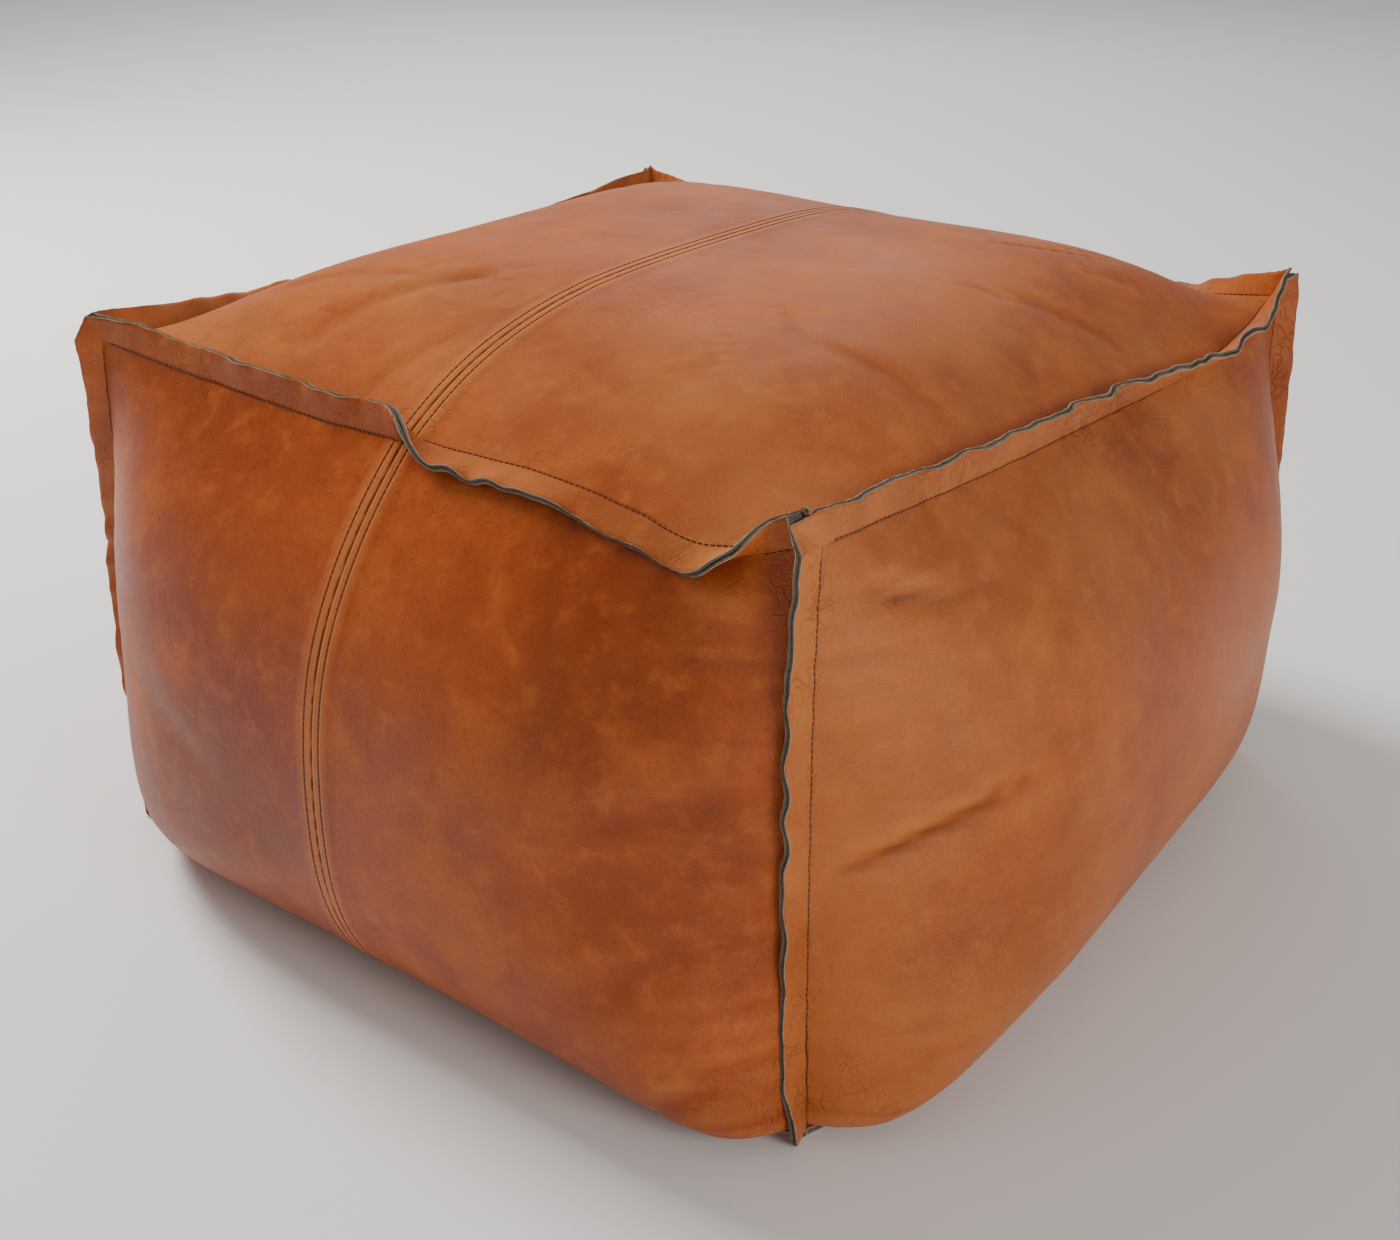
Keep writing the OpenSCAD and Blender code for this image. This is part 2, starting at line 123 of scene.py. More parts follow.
# ---------------------------------------------------------------------------------------------
# The edge seams. Two plies of leather meet wrong side to wrong side along each edge of the cube,
# are sewn through, and run on past the stitches as a raw-edged flange that leans and ripples.
# ---------------------------------------------------------------------------------------------
MM = 0.001
FLANGE = 16 * MM
LEATHER = 1.6 * MM
PLY_GAP = 0.15 * MM
ROOT_HALF = math.sqrt(0.5)

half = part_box("top_panel_right")[1][0] - FLANGE * ROOT_HALF
seam_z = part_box("right_panel")[1][2] - FLANGE * ROOT_HALF
base_z = LEATHER + PLY_GAP


def unit(vectors):
    return vectors / np.maximum(np.linalg.norm(vectors, axis=-1, keepdims=True), 1e-12)


def through(keys, t):
    """A smooth curve through keys, each (t, value, ...), at the places t."""
    keys = np.array(keys, float)
    x, y = keys[:, 0], keys[:, 1:]
    slope = np.gradient(y, x, axis=0)
    i = np.clip(np.searchsorted(x, t) - 1, 0, len(x) - 2)
    h = (x[i + 1] - x[i])[:, None]
    s = (t[:, None] - x[i][:, None]) / h
    return ((1 + 2 * s) * (1 - s) ** 2 * y[i] + s * (1 - s) ** 2 * h * slope[i]
            + s * s * (3 - 2 * s) * y[i + 1] + s * s * (s - 1) * h * slope[i + 1])


def ripple(t, seed, waves):
    """An uneven wave over t from -1 to 1, about 1 high, with waves crests along the seam."""
    draw = np.random.default_rng(seed)
    total = np.zeros_like(t)
    for k in range(6):
        total += np.sin(math.pi * waves * draw.uniform(0.55, 1.6) * t + draw.uniform(0, 6.3))
    return total / 2.6


class Seam:
    """An edge seam from start to end, between a panel facing side_a and one facing side_b.
    bend holds (t, mm towards side_a, mm towards side_b), lean holds (t, degrees from the middle
    towards side_b, degrees of curl), and t runs from -1 to 1 along the seam."""

    def __init__(self, start, end, side_a, side_b, bend, lean, seed, width=1.0, waves=9, wavy=1.0,
                 trim=(0, 0)):
        self.start, self.end = np.array(start, float), np.array(end, float)
        self.side_a, self.side_b = np.array(side_a, float), np.array(side_b, float)
        self.bend, self.lean, self.seed = bend, lean, seed
        self.width, self.waves, self.wavy, self.trim = width * FLANGE, waves, wavy, trim

    def line(self, t):
        share = (t[:, None] + 1) / 2
        bend = through(self.bend, t) * MM
        wobble = 0.5 * MM * self.wavy * ripple(t, self.seed, 14) * (1 - t ** 8)
        return (self.start * (1 - share) + self.end * share + bend[:, :1] * self.side_a
                + (bend[:, 1:2] + wobble[:, None]) * self.side_b)

    def flange(self, t, steps):
        """Places on the plane between the two plies: one row per t, one column per step from
        0 at the stitches to 1 at the raw edge."""
        nudge = 1e-3
        along = unit(self.line(t + nudge) - self.line(t - nudge))
        lean = through(self.lean, t)
        calm = np.clip((1 - np.abs(t)) / 0.12, 0, 1)
        flutter = ripple(t, self.seed + 50, self.waves) * 9 * self.wavy * calm
        curl = (lean[:, 1] + ripple(t, self.seed + 90, 1.7 * self.waves) * 16 * self.wavy) * calm
        width = self.width * (1 + 0.035 * ripple(t, self.seed + 130, 6))
        width *= 1 - np.where(t < 0, self.trim[0], self.trim[1]) * t ** 10
        middle, across = (self.side_a + self.side_b), (self.side_b - self.side_a)
        place = self.line(t)
        rows = [place]
        for s, s_next in zip(steps[:-1], steps[1:]):
            angle = np.radians(lean[:, 0] + flutter * s_next + curl * (s + s_next) / 2)[:, None]
            way = (np.cos(angle) * middle + np.sin(angle) * across) * ROOT_HALF
            way = unit(way - along * (way * along).sum(1, keepdims=True))
            place = place + way * (width * (s_next - s))[:, None]
            rows.append(place)
        return np.stack(rows, axis=1)


UP, DOWN = (0, 0, 1), (0, 0, -1)
FRONT, BACK, LEFT, RIGHT = (0, -1, 0), (0, 1, 0), (-1, 0, 0), (1, 0, 0)


def top_corner(x, y):
    return (x * half, y * half, seam_z)


def base_corner(x, y):
    return (x * half, y * half, base_z)


# Each top seam sags between its corners, which the flanges pull up into ears
seams = {
    "top_front": Seam(
        top_corner(-1, -1), top_corner(1, -1), UP, FRONT,
        [(-1, 0, 0), (-0.85, -3, 1), (-0.55, -6, 2), (-0.15, -8, 3), (0.15, -5, 1), (0.4, -4, 1),
         (0.62, -8, 3), (0.76, -12, 6), (0.9, -7, 4), (1, 0, 0)],
        [(-1, -30, 0), (-0.85, -62, 8), (-0.5, -55, 4), (-0.25, -50, 0), (-0.02, -32, -10),
         (0.1, 48, -4), (0.2, 56, 2), (0.35, 57, 6), (0.5, 64, 6), (0.65, 76, 5),
         (0.77, 79, 4), (0.87, 30, -6), (0.95, -30, -5), (1, -48, 0)], seed=3, width=1.04, wavy=0.6),
    "top_right": Seam(
        top_corner(1, -1), top_corner(1, 1), UP, RIGHT,
        [(-1, 0, 0), (-0.8, -3, 1), (-0.45, -8, 2), (0, -12, 3), (0.35, -14, 4), (0.65, -15, 4),
         (0.86, -8, 2), (1, 0, 0)],
        [(-1, -52, 0), (-0.75, -50, 6), (-0.3, -38, 4), (0.1, -28, 0), (0.3, -10, 0),
         (0.45, 4, -6), (0.7, 13, -8), (0.88, 5, 0), (1, -20, 0)], seed=8, wavy=0.6),
    "top_back": Seam(
        top_corner(-1, 1), top_corner(1, 1), UP, BACK,
        [(-1, 0, 0), (-0.75, -7, 2), (-0.3, -12, 3), (0.4, -13, 3), (0.8, -8, 2), (1, 0, 0)],
        [(-1, -20, 0), (-0.8, 20, 5), (-0.2, 45, 4), (0.3, 40, 6), (0.8, 25, 0), (1, -20, 0)],
        seed=15, wavy=0.6),
    "top_left": Seam(
        top_corner(-1, -1), top_corner(-1, 1), UP, LEFT,
        [(-1, 0, 0), (-0.8, -5, 1), (-0.3, -11, 3), (0.3, -11, 3), (0.75, -5, 1), (1, 0, 0)],
        [(-1, -30, 0), (-0.7, -5, 5), (-0.2, 12, 4), (0.4, 10, 0), (0.8, -15, 0),
         (1, -30, 0)], seed=21, wavy=0.55),
    "corner_front_left": Seam(
        base_corner(-1, -1), top_corner(-1, -1), FRONT, LEFT,
        [(-1, 0, 0), (-0.5, 2, 3), (0.2, 1, 2), (1, 0, 0)],
        [(-1, 0, 0), (-0.7, 25, 0), (-0.2, 12, 6), (0.4, 30, 0), (0.8, 18, 0), (1, 0, 0)],
        seed=34, waves=7, wavy=0.6),
    "corner_front_right": Seam(
        base_corner(1, -1), top_corner(1, -1), FRONT, RIGHT,
        [(-1, 0, 0), (-0.95, 6, 5), (-0.85, 7, 6), (-0.6, 4, 3), (0, 3, 1), (0.6, 2, 0), (1, 0, 0)],
        [(-1, -20, 0), (-0.85, -42, -4), (-0.4, -50, -6), (0.2, -50, -6), (0.75, -48, -6),
         (1, -42, 0)], seed=41, waves=5, wavy=0.45, trim=(0.5, 0)),
    "corner_back_right": Seam(
        base_corner(1, 1), top_corner(1, 1), BACK, RIGHT,
        [(-1, 0, 0), (0, 2, 2), (1, 0, 0)],
        [(-1, 0, 0), (-0.5, -12, 4), (0.3, 14, 0), (1, 0, 0)], seed=55, waves=7, wavy=0.5),
    "corner_back_left": Seam(
        base_corner(-1, 1), top_corner(-1, 1), BACK, LEFT,
        [(-1, 0, 0), (0, 2, 2), (1, 0, 0)],
        [(-1, 0, 0), (-0.4, 30, 0), (0.4, 22, 4), (1, 0, 0)], seed=62, waves=7, wavy=0.5),
}
# The stuffed sides overhang the base seams, whose flanges lie flat on the floor
BASE_BOW = -8
BOW_KEYS = [(t, BASE_BOW * (1 - t * t), 0) for t in np.linspace(-1, 1, 9)]
for place, side, seed in (("front", FRONT, 71), ("right", RIGHT, 77), ("back", BACK, 83),
                          ("left", LEFT, 89)):
    ends = {"front": ((-1, -1), (1, -1)), "right": ((1, -1), (1, 1)),
            "back": ((-1, 1), (1, 1)), "left": ((-1, -1), (-1, 1))}[place]
    seams["base_" + place] = Seam(base_corner(*ends[0]), base_corner(*ends[1]), side, DOWN,
                                  BOW_KEYS, [(-1, -45, 0), (0, -45, 0), (1, -45, 0)], seed,
                                  wavy=0, trim=(0.7, 0.7))


class Side:
    """One seam as a panel sees it, perhaps run the other way."""

    def __init__(self, name, backwards=False):
        self.seam, self.way = seams[name], -1 if backwards else 1
        self.name = name

    def line(self, t):
        return self.seam.line(self.way * t)

    def flange(self, t, steps):
        return self.seam.flange(self.way * t, steps)


# The six faces of the cube. Seen from outside, u runs to the right and v runs up (towards the
# back on the top), and the sides are listed as low v, high v, low u and high u.
faces = {
    "top": (Side("top_front"), Side("top_back"), Side("top_left"), Side("top_right")),
    "front": (Side("base_front"), Side("top_front"), Side("corner_front_left"),
              Side("corner_front_right")),
    "right": (Side("base_right"), Side("top_right"), Side("corner_front_right"),
              Side("corner_back_right")),
    "back": (Side("base_back", True), Side("top_back", True), Side("corner_back_right"),
             Side("corner_back_left")),
    "left": (Side("base_left", True), Side("top_left", True), Side("corner_back_left"),
             Side("corner_front_left")),
}
OUTWARD = {"top": UP, "front": FRONT, "right": RIGHT, "back": BACK, "left": LEFT}

# ---------------------------------------------------------------------------------------------
# The stuffed skin. The panels are blown up like the filled cover: each starts as a patch between
# its seams with the swelling and the large folds of the hide, then cloth simulation under
# pressure puckers it along the seams, where the sewing has drawn in more leather than fits.
# ---------------------------------------------------------------------------------------------
SIDE_SWELL = 80 * MM
SEAT_CROWN = 41 * MM
BEND_REACH = 50 * MM


def reach(face):
    """How far a face reaches from its middle along v."""
    return half if face == "top" else seam_z / 2


def patch(face, u, v):
    """The surface between a face's four seams at the lattice lines u and v, before swelling: flat
    but for the bends of the seams, which fade away within BEND_REACH."""
    a, b = ((u + 1) / 2)[:, None, None], ((v + 1) / 2)[None, :, None]
    low_v, high_v, low_u, high_u = faces[face]
    ends = np.array([-1.0, 1.0])
    low, high = low_v.line(ends), high_v.line(ends)
    flat = ((1 - a) * (1 - b) * low[0] + a * (1 - b) * low[1]
            + (1 - a) * b * high[0] + a * b * high[1])
    bent = flat.copy()
    for side, lines, off in ((low_v, u, (v + 1) * reach(face)), (high_v, u, (1 - v) * reach(face))):
        edge = side.line(lines) - flat[:, 0 if side is low_v else -1]
        bent += edge[:, None] * np.exp(-(off / BEND_REACH) ** 2)[None, :, None]
    for side, lines, off in ((low_u, v, (u + 1) * half), (high_u, v, (1 - u) * half)):
        edge = side.line(lines) - flat[0 if side is low_u else -1]
        bent += edge[None] * np.exp(-(off / BEND_REACH) ** 2)[:, None, None]
    return bent


# How much less each side swells towards its high u, where the filling has settled, and how full
# it is low down by its low u and its high u seam
SLACK = {"front": -0.06, "right": 0.46, "back": 0.05, "left": 0.4}
FULL = {"front": (3, 14), "right": (14, 5), "back": (6, 6), "left": (6, 2)}


def swelling(face, u, v):
    """How far the filling pushes the face out."""
    u, v = u[:, None], v[None, :]
    if face == "top":
        return SEAT_CROWN * (1 - np.abs(u) ** 5) * (1 - np.abs(v) ** np.where(v > 0, 5.2, 4))
    rise = np.where(v < 0, (1 - np.minimum(np.abs(v), 1) ** 3) ** 0.4, 1 - v * v)
    sunk = np.clip(-v, 0, 1)
    full = np.where(u < 0, *FULL[face])
    return (SIDE_SWELL * rise * (1 - np.abs(u) ** (4 + full * sunk ** 2))
            * (1 - SLACK[face] * np.clip((u + 0.4) / 1.4, 0, 1) * (0.35 + 0.65 * sunk))
            * (1 + 0.06 * sunk))


def fold(face, u, v, path, depth, width, lopside=0.0):
    """A valley (depth below 0) or ridge in mm along a path of (u, v), fading at its ends. lopside
    raises the leather on the path's left."""
    reach_v = reach(face)
    x, y = np.meshgrid(u * half, v * reach_v, indexing="ij")
    total = np.zeros_like(x)
    nearest = np.full_like(x, 1e9)
    path = np.array(path, float) * (half, reach_v)
    lengths = np.linalg.norm(np.diff(path, axis=0), axis=1)
    run, whole = 0.0, lengths.sum()
    for (p, q), length in zip(zip(path[:-1], path[1:]), lengths):
        way = (q - p) / length
        s = np.clip((x - p[0]) * way[0] + (y - p[1]) * way[1], 0, length)
        dx, dy = x - p[0] - s * way[0], y - p[1] - s * way[1]
        off = np.hypot(dx, dy)
        side = np.sign(way[0] * dy - way[1] * dx)
        share = (run + s) / whole
        taper = np.sin(math.pi * np.clip(share, 0.02, 0.98)) ** 0.6
        shape = depth * np.exp(-(off / (width * MM)) ** 2)
        shape += lopside * side * (off / (width * MM)) * np.exp(-(off / (1.6 * width * MM)) ** 2)
        total = np.where(off < nearest, shape * taper * MM, total)
        nearest = np.minimum(nearest, off)
        run += length
    return total


# Large folds of each panel as (path, depth mm, width mm, lopside mm)
FOLDS = {
    "top": [([(-0.8, -0.75), (-0.65, -0.6), (-0.28, -0.49), (0.3, -0.45), (0.8, -0.4), (0.97, -0.44)],
             -1.9, 7, 1.0),
            ([(-0.46, -0.9), (-0.46, -0.75), (-0.38, -0.6), (-0.2, -0.35)], -2.2, 9, 0.9),
            ([(-0.2, -0.95), (-0.18, -0.86), (-0.1, -0.7)], -1.6, 8, 0.5),
            ([(-0.42, -0.18), (-0.24, -0.12), (0.0, 0.0)], -1.3, 8, 0.6),
            ([(0.46, -0.9), (0.48, -0.7), (0.58, -0.5)], -1.3, 12, 0.4),
            ([(0.72, 0.2), (0.88, 0.3), (0.97, 0.26)], -1.5, 7, 0.5),
            ([(-0.3, 0.6), (0.1, 0.68), (0.5, 0.6)], -1.6, 30, 0.5)],
    "front": [([(0.66, 0.12), (0.8, 0.17), (0.9, 0.22), (0.98, 0.26)], -3.0, 11, 0.9),
              ([(0.8, -0.86), (0.92, -0.7), (0.98, -0.62)], -2.6, 9, 0.8),
              ([(0.6, -0.55), (0.8, -0.34), (0.97, -0.22)], -2.2, 13, 0.8),
              ([(0.72, 0.92), (0.85, 0.86), (0.96, 0.82)], 2.6, 12, 0.0),
              ([(0.68, 0.42), (0.8, 0.62), (0.95, 0.7)], -2.2, 15, 0.8),
              ([(0.5, 0.84), (0.47, 0.6), (0.45, 0.35)], -1.5, 18, 0.5),
              ([(-0.62, -0.04), (-0.4, -0.2), (-0.25, -0.32)], -1.6, 12, 0.5)],
    "right": [([(-1.0, -0.1), (-0.94, -0.02), (-0.84, 0.06), (-0.68, 0.15)], -6.0, 8, 3.6),
              ([(-0.98, 0.8), (-0.9, 0.79), (-0.74, 0.75), (-0.55, 0.73)], -2.6, 7, 0.9),
              ([(-0.97, 0.94), (-0.88, 0.84), (-0.76, 0.74)], -1.8, 7, 0.6),
              ([(-0.98, -0.8), (-0.94, -0.7), (-0.85, -0.66)], -2.0, 8, 0.6),
              ([(-0.64, 0.6), (-0.59, 0.4), (-0.58, 0.16)], -1.6, 14, 0.6),
              ([(-0.2, 0.3), (0.15, 0.5)], -1.8, 20, 0.4)],
    "back": [([(-0.9, 0.1), (-0.7, 0.0), (-0.4, -0.1)], -2.4, 12, 0.8),
             ([(0.95, -0.3), (0.75, -0.1), (0.5, -0.2)], -2.6, 11, 1.0)],
    "left": [([(-0.95, 0.3), (-0.8, 0.2), (-0.5, 0.24)], -2.6, 11, 0.9),
             ([(0.95, -0.2), (0.7, -0.3), (0.5, -0.26)], -2.4, 12, 0.8)],
}
# Small gathers that lead away from the edge seams: how many along a face, and their depth in mm
GATHERS, GATHER_DEPTH, GATHER_REACH = 12, 0.8, 34 * MM


def gathers(face, u, v):
    draw = np.random.default_rng(sum(map(ord, face)))
    reach_v = reach(face)
    x, y = np.meshgrid(u * half, v * reach_v, indexing="ij")
    total = np.zeros_like(x)
    for along, off, end in ((x, y + reach_v, half), (x, reach_v - y, half),
                            (y, x + half, reach_v), (y, half - x, reach_v)):
        for _ in range(int(GATHERS * end / half)):
            at, slant = draw.uniform(-0.95, 0.95) * end, draw.uniform(-0.5, 0.5)
            length, wide = draw.uniform(0.5, 1.6) * GATHER_REACH, draw.uniform(5, 11) * MM
            depth = draw.uniform(-1, 0.5) * GATHER_DEPTH * MM
            swell = (off / (0.35 * length)) * np.exp(1 - off / (0.35 * length))
            total += depth * swell * np.exp(-((along - at - slant * off) / (wide + 0.2 * off)) ** 2)
    return total


def blank(face, u, v):
    """A face's surface at the lattice lines u and v, as cut, sewn and stuffed by hand."""
    raised = gathers(face, u, v)
    for path, depth, width, lopside in FOLDS[face]:
        raised += fold(face, u, v, path, depth, width, lopside)
    raised *= (1 - np.abs(u[:, None]) ** 24) * (1 - np.abs(v[None]) ** 24)
    raised += swelling(face, u, v)
    return patch(face, u, v) + raised[..., None] * np.array(OUTWARD[face])


CELL = 7 * MM
across = np.linspace(-1, 1, int(2 * half / CELL) + 1)
upright = np.linspace(-1, 1, int(seam_z / CELL) + 1)
skins = {face: blank(face, across, across if face == "top" else upright) for face in faces}


def lattice_faces(numbers):
    """Quads of a lattice of point numbers, facing along u x v."""
    return np.stack([numbers[:-1, :-1], numbers[1:, :-1], numbers[1:, 1:], numbers[:-1, 1:]],
                    axis=-1).reshape(-1, 4)


def new_piece(name, points, quads):
    mesh = bpy.data.meshes.new(name)
    mesh.from_pydata([tuple(p) for p in points], [], [tuple(q) for q in quads])
    piece = bpy.data.objects.new(name, mesh)
    bpy.context.collection.objects.link(piece)
    return piece


def inflate(skins):
    """Runs the cloth simulation on all the faces, welded at their seams, and puts its result
    back in the lattices."""
    stacked = np.concatenate([skins[face].reshape(-1, 3) for face in skins])
    _, first, joined = np.unique(np.round(stacked / 1e-5).astype(int), axis=0,
                                 return_index=True, return_inverse=True)
    joined = joined.ravel()
    quads, seam_points, start = [], set(), 0
    for face, grid in skins.items():
        numbers = joined[start:start + grid.shape[0] * grid.shape[1]].reshape(grid.shape[:2])
        quads.append(lattice_faces(numbers))
        for edge in (numbers[0], numbers[-1], numbers[:, 0], numbers[:, -1]):
            seam_points.update(edge.tolist())
        start += numbers.size
    rest = stacked[first]
    skin = new_piece("stuffed_skin", rest, np.concatenate(quads))
    sewn = sorted(seam_points)
    skin.vertex_groups.new(name="sewn").add(sewn, 1.0, "REPLACE")
    gathered = skin.vertex_groups.new(name="gathered")
    near = np.full(len(rest), 1e9)
    for k in range(0, len(sewn), 6):
        near = np.minimum(near, np.linalg.norm(rest - rest[sewn[k]], axis=1))
    for number, distance in enumerate(near):
        gathered.add([number], float(np.exp(-(distance / (38 * MM)) ** 2)), "REPLACE")
    cloth = skin.modifiers.new("Cloth", "CLOTH")
    cloth.settings.quality = 6
    cloth.settings.mass = 0.35
    cloth.settings.tension_stiffness = 60
    cloth.settings.compression_stiffness = 60
    cloth.settings.shear_stiffness = 25
    cloth.settings.bending_stiffness = 1.2
    cloth.settings.use_pressure = True
    cloth.settings.uniform_pressure_force = 4
    cloth.settings.vertex_group_mass = "sewn"
    cloth.settings.vertex_group_shrink = "gathered"
    cloth.settings.shrink_min = 0.0
    cloth.settings.shrink_max = -0.045
    cloth.settings.effector_weights.gravity = 0
    cloth.collision_settings.use_collision = False
    last_frame = 18
    cloth.point_cache.frame_start = 1
    cloth.point_cache.frame_end = last_frame
    for number in range(1, last_frame + 1):
        bpy.context.scene.frame_set(number)
    shaped = skin.evaluated_get(bpy.context.evaluated_depsgraph_get()).data
    places = np.empty(len(rest) * 3)
    shaped.vertices.foreach_get("co", places)
    move = places.reshape(-1, 3) - rest
    most = 14 * MM
    size = np.linalg.norm(move, axis=1, keepdims=True)
    move *= most * np.tanh(size / most) / np.maximum(size, 1e-9)
    moved = rest + move
    bpy.context.scene.frame_set(1)
    bpy.data.objects.remove(skin)
    start = 0
    for face, grid in skins.items():
        count = grid.shape[0] * grid.shape[1]
        skins[face] = moved[joined[start:start + count]].reshape(grid.shape)
        start += count


inflate(skins)

# ---------------------------------------------------------------------------------------------
# Leather for the panels: a tan pull-up hide, waxed and hand-mottled, glossy where it is stretched.
# Painted shade darkens its hollows and painted highlight lightens its ridges; the top and right
# faces are painted paler for the stronger light on them, and the flanges are drawn paler too.
# Its cut edges and flesh side are grey-brown suede.
# ---------------------------------------------------------------------------------------------


def new_material(name):
    material = bpy.data.materials.new(name)
    material.use_nodes = True
    return material, material.node_tree, material.node_tree.nodes["Principled BSDF"]


class Nodes:
    """Short calls for adding and joining shader nodes in one tree."""

    def __init__(self, tree):
        self.tree = tree

    def add(self, kind, inputs=None, **settings):
        node = self.tree.nodes.new("ShaderNode" + kind)
        for name, value in settings.items():
            setattr(node, name, value)
        for name, value in (inputs or {}).items():
            if isinstance(value, bpy.types.NodeSocket):
                self.tree.links.new(value, node.inputs[name])
            else:
                node.inputs[name].default_value = value
        return node

    def math(self, operation, a, b=0.0, clamp=False):
        return self.add("Math", {0: a, 1: b}, operation=operation, use_clamp=clamp).outputs[0]

    def noise(self, vector, scale, detail=4.0, rough=0.5, distortion=0.0):
        return self.add("TexNoise", {"Vector": vector, "Scale": scale, "Detail": detail,
                                     "Roughness": rough, "Distortion": distortion}).outputs["Fac"]

    def spread(self, value, low, high, to_low=0.0, to_high=1.0):
        """value from low to high, spread over to_low to to_high and held there."""
        return self.add("MapRange", {"Value": value, "From Min": low, "From Max": high,
                                     "To Min": to_low, "To Max": to_high}).outputs["Result"]

    def blend(self, factor, a, b, how="MIX"):
        node = self.add("Mix", data_type="RGBA", blend_type=how)
        for number, value in ((0, factor), (6, a), (7, b)):
            if isinstance(value, bpy.types.NodeSocket):
                self.tree.links.new(value, node.inputs[number])
            else:
                node.inputs[number].default_value = value
        return node.outputs[2]


def hide_mottle():
    """A shader group for the dye of the hide: patches of darker and paler tan at three sizes."""
    group = bpy.data.node_groups.new("hide_mottle", "ShaderNodeTree")
    group.interface.new_socket("Vector", in_out="INPUT", socket_type="NodeSocketVector")
    group.interface.new_socket("Dark", in_out="INPUT", socket_type="NodeSocketColor")
    group.interface.new_socket("Tan", in_out="INPUT", socket_type="NodeSocketColor")
    group.interface.new_socket("Pale", in_out="INPUT", socket_type="NodeSocketColor")
    group.interface.new_socket("Color", in_out="OUTPUT", socket_type="NodeSocketColor")
    group.interface.new_socket("Patches", in_out="OUTPUT", socket_type="NodeSocketFloat")
    n = Nodes(group)
    given = group.nodes.new("NodeGroupInput").outputs
    clouds = n.noise(given["Vector"], 5.5, 3.0, 0.55, 0.6)
    patches = n.noise(given["Vector"], 17.0, 4.0, 0.6, 0.4)
    specks = n.noise(given["Vector"], 420.0, 3.0, 0.7)
    fine = n.noise(given["Vector"], 75.0, 6.0, 0.65)
    tone = n.blend(n.spread(clouds, 0.36, 0.62), given["Dark"], given["Tan"])
    tone = n.blend(n.spread(fine, 0.52, 0.68, 0.0, 0.45), tone, given["Pale"])
    tone = n.blend(n.spread(fine, 0.34, 0.46, 0.4, 0.0), tone, given["Dark"])
    tone = n.blend(n.spread(patches, 0.5, 0.78, 0.0, 0.75), tone, given["Pale"])
    tone = n.blend(n.spread(patches, 0.26, 0.46, 0.5, 0.0), tone, given["Dark"])
    tone = n.blend(n.spread(specks, 0.55, 0.7, 0.0, 0.4), tone, (0.08, 0.014, 0.003, 1))
    result = group.nodes.new("NodeGroupOutput")
    group.links.new(tone, result.inputs["Color"])
    group.links.new(patches, result.inputs["Patches"])
    return group


def leather_grain():
    """A shader group for the grain of leather: fine pebbles, and short wrinkles where Wear is
    high. It gives a height for bump and a mask of the wrinkles."""
    group = bpy.data.node_groups.new("leather_grain", "ShaderNodeTree")
    group.interface.new_socket("Vector", in_out="INPUT", socket_type="NodeSocketVector")
    group.interface.new_socket("Wear", in_out="INPUT", socket_type="NodeSocketFloat")
    group.interface.new_socket("Height", in_out="OUTPUT", socket_type="NodeSocketFloat")
    group.interface.new_socket("Wrinkles", in_out="OUTPUT", socket_type="NodeSocketFloat")
    n = Nodes(group)
    given = group.nodes.new("NodeGroupInput").outputs
    pebbles = n.add("TexVoronoi", {"Vector": given["Vector"], "Scale": 750.0},
                    feature="DISTANCE_TO_EDGE").outputs["Distance"]
    pebbles = n.spread(pebbles, 0.0, 0.25)
    warp = n.add("TexNoise", {"Vector": given["Vector"], "Scale": 60.0, "Detail": 2.0})
    bent = n.add("VectorMath", {0: warp.outputs["Color"], 1: (0.5, 0.5, 0.5)}, operation="SUBTRACT")
    bent = n.add("VectorMath", {0: bent.outputs[0], "Scale": 0.03}, operation="SCALE")
    bent = n.add("VectorMath", {0: given["Vector"], 1: bent.outputs[0]}, operation="ADD")
    lines = n.add("TexVoronoi", {"Vector": bent.outputs[0], "Scale": 110.0},
                  feature="DISTANCE_TO_EDGE").outputs["Distance"]
    lines = n.spread(lines, 0.0, 0.09, 1.0, 0.0)
    broken = n.spread(n.noise(given["Vector"], 45.0, 3.0), 0.45, 0.62)
    lines = n.math("MULTIPLY", n.math("MULTIPLY", lines, broken), given["Wear"], clamp=True)
    uneven = n.noise(given["Vector"], 130.0, 3.0, 0.6)
    height = n.math("ADD", n.math("MULTIPLY", pebbles, 0.35), n.math("MULTIPLY", uneven, 0.8))
    height = n.math("SUBTRACT", height, n.math("MULTIPLY", lines, 1.5))
    result = group.nodes.new("NodeGroupOutput")
    group.links.new(height, result.inputs["Height"])
    group.links.new(lines, result.inputs["Wrinkles"])
    return group


MOTTLE, GRAIN = hide_mottle(), leather_grain()


